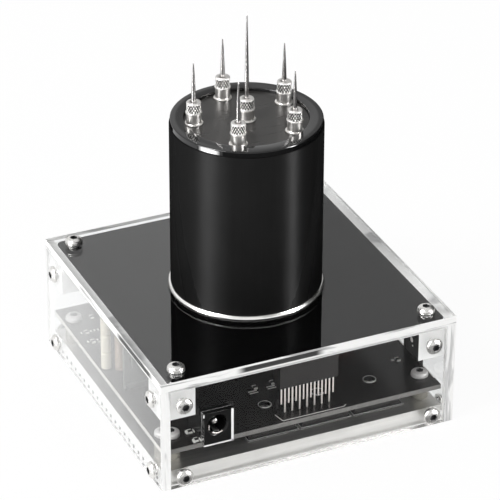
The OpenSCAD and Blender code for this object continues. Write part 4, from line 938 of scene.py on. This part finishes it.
glow_card("softbox_left", -76, -40, 19.0)
glow_card("softbox_right", 61, 76, 44.0)
glow_card("softbox_high", -84, -44, 45.0, low=780, high=960, distance=620)
BLACK_CARD = card_stuff("card_black", 0.004)
table_card("card_dark", 70, 168, 74, 1400, BLACK_CARD)
table_card("card_dark_left", -178, -138, 74, 420, BLACK_CARD)
table_card("card_mid", -34, 70, 130, 420, card_stuff("card_grey", 0.07))
table_card("card_glow", -74, -36, 196, 212, wedge_glow("card_glow", -55, 19, 30.0), z=0.02)
stage_mesh("card_front", [(-54, -112, 0.02), (84, -112, 0.02), (60, -49.5, 0.02), (-54, -49.5, 0.02)],
           card_stuff("card_front_grey", 0.28))


def lamp(name, at, aim, size, power):
    data = bpy.data.lights.new(name, "AREA")
    data.shape, data.size, data.energy = "DISK", size, power
    obj = placed(name, data)
    obj.location = Vector(at) * MM
    obj.rotation_euler = (Vector(aim) - Vector(at)).to_track_quat("-Z", "Y").to_euler()


lamp("key", around(-50, 900, 900), (0, 0, 50), 0.5, 7.0)


def world_light():
    """Plain white for the camera, a soft light from the left, and darker zones for reflections."""
    world = bpy.data.worlds.new("studio")
    bpy.context.scene.world = world
    world.use_nodes = True
    t = Tree(world.node_tree)
    way = t.split(t.add("ShaderNodeTexCoord").outputs["Generated"])
    height = way[2]
    turn = t.math("ARCTAN2", way[0], way[1])
    low = t.ramp(height, 0.6, 0.85, 1.0, 0.0)
    right_side = t.times(t.ramp(turn, math.radians(22.9), math.radians(25.7)), low)
    behind = t.minus(0.82, t.times(right_side, 0.37))
    rising = t.ramp(height, 0.05, 0.3)
    shiny = t.plus(t.minus(1.0, rising), t.times(rising, behind))
    aim = heading(15)
    ahead = t.plus(t.times(way[0], aim.x), t.times(way[1], aim.y))
    front = t.times(t.ramp(ahead, 0.05, 0.4), t.ramp(height, 0.45, 0.7))
    shiny = t.times(shiny, t.minus(1.0, t.times(front, 0.6)))
    gap = t.times(t.ramp(turn, math.radians(36), math.radians(44)),
                  t.ramp(turn, math.radians(108), math.radians(118), 1.0, 0.0))
    shiny = t.times(shiny, t.minus(1.0, t.times(t.times(gap, low), 0.97)))
    path = t.add("ShaderNodeLightPath").outputs
    soft, camera = path["Is Diffuse Ray"], path["Is Camera Ray"]
    away = t.plus(t.times(way[0], 0.95), t.times(way[1], 0.3))
    wrap = t.ramp(away, -0.3, 0.9, 0.95, 0.45)
    level = t.plus(t.times(soft, wrap), t.times(t.minus(1.0, soft), shiny))
    level = t.plus(camera, t.times(t.minus(1.0, camera), level))
    light = t.add("ShaderNodeBackground", Color=grey(1.0), Strength=level)
    t.add("ShaderNodeOutputWorld", Surface=light.outputs[0])


world_light()


def camera():
    """The photograph's camera."""
    forward = Vector((math.sin(AZIMUTH) * math.cos(ELEVATION), math.cos(AZIMUTH) * math.cos(ELEVATION),
                      -math.sin(ELEVATION)))
    right = forward.cross(Vector((0, 0, 1))).normalized()
    up = right.cross(forward)
    r = math.cos(ROLL) * right + math.sin(ROLL) * up
    u = -math.sin(ROLL) * right + math.cos(ROLL) * up
    data = bpy.data.cameras.new("camera")
    data.sensor_fit, data.sensor_width = "HORIZONTAL", SENSOR
    data.lens = FOCAL_PX * SENSOR / FRAME_PX
    data.clip_start, data.clip_end = 0.05, 20
    obj = placed("camera", data)
    at = Vector(CAMERA_AT) * MM
    obj.matrix_world = Matrix(((r.x, u.x, -forward.x, at.x), (r.y, u.y, -forward.y, at.y),
                               (r.z, u.z, -forward.z, at.z), (0, 0, 0, 1)))
    bpy.context.scene.camera = obj


camera()
bpy.context.scene.view_settings.view_transform = "Standard"
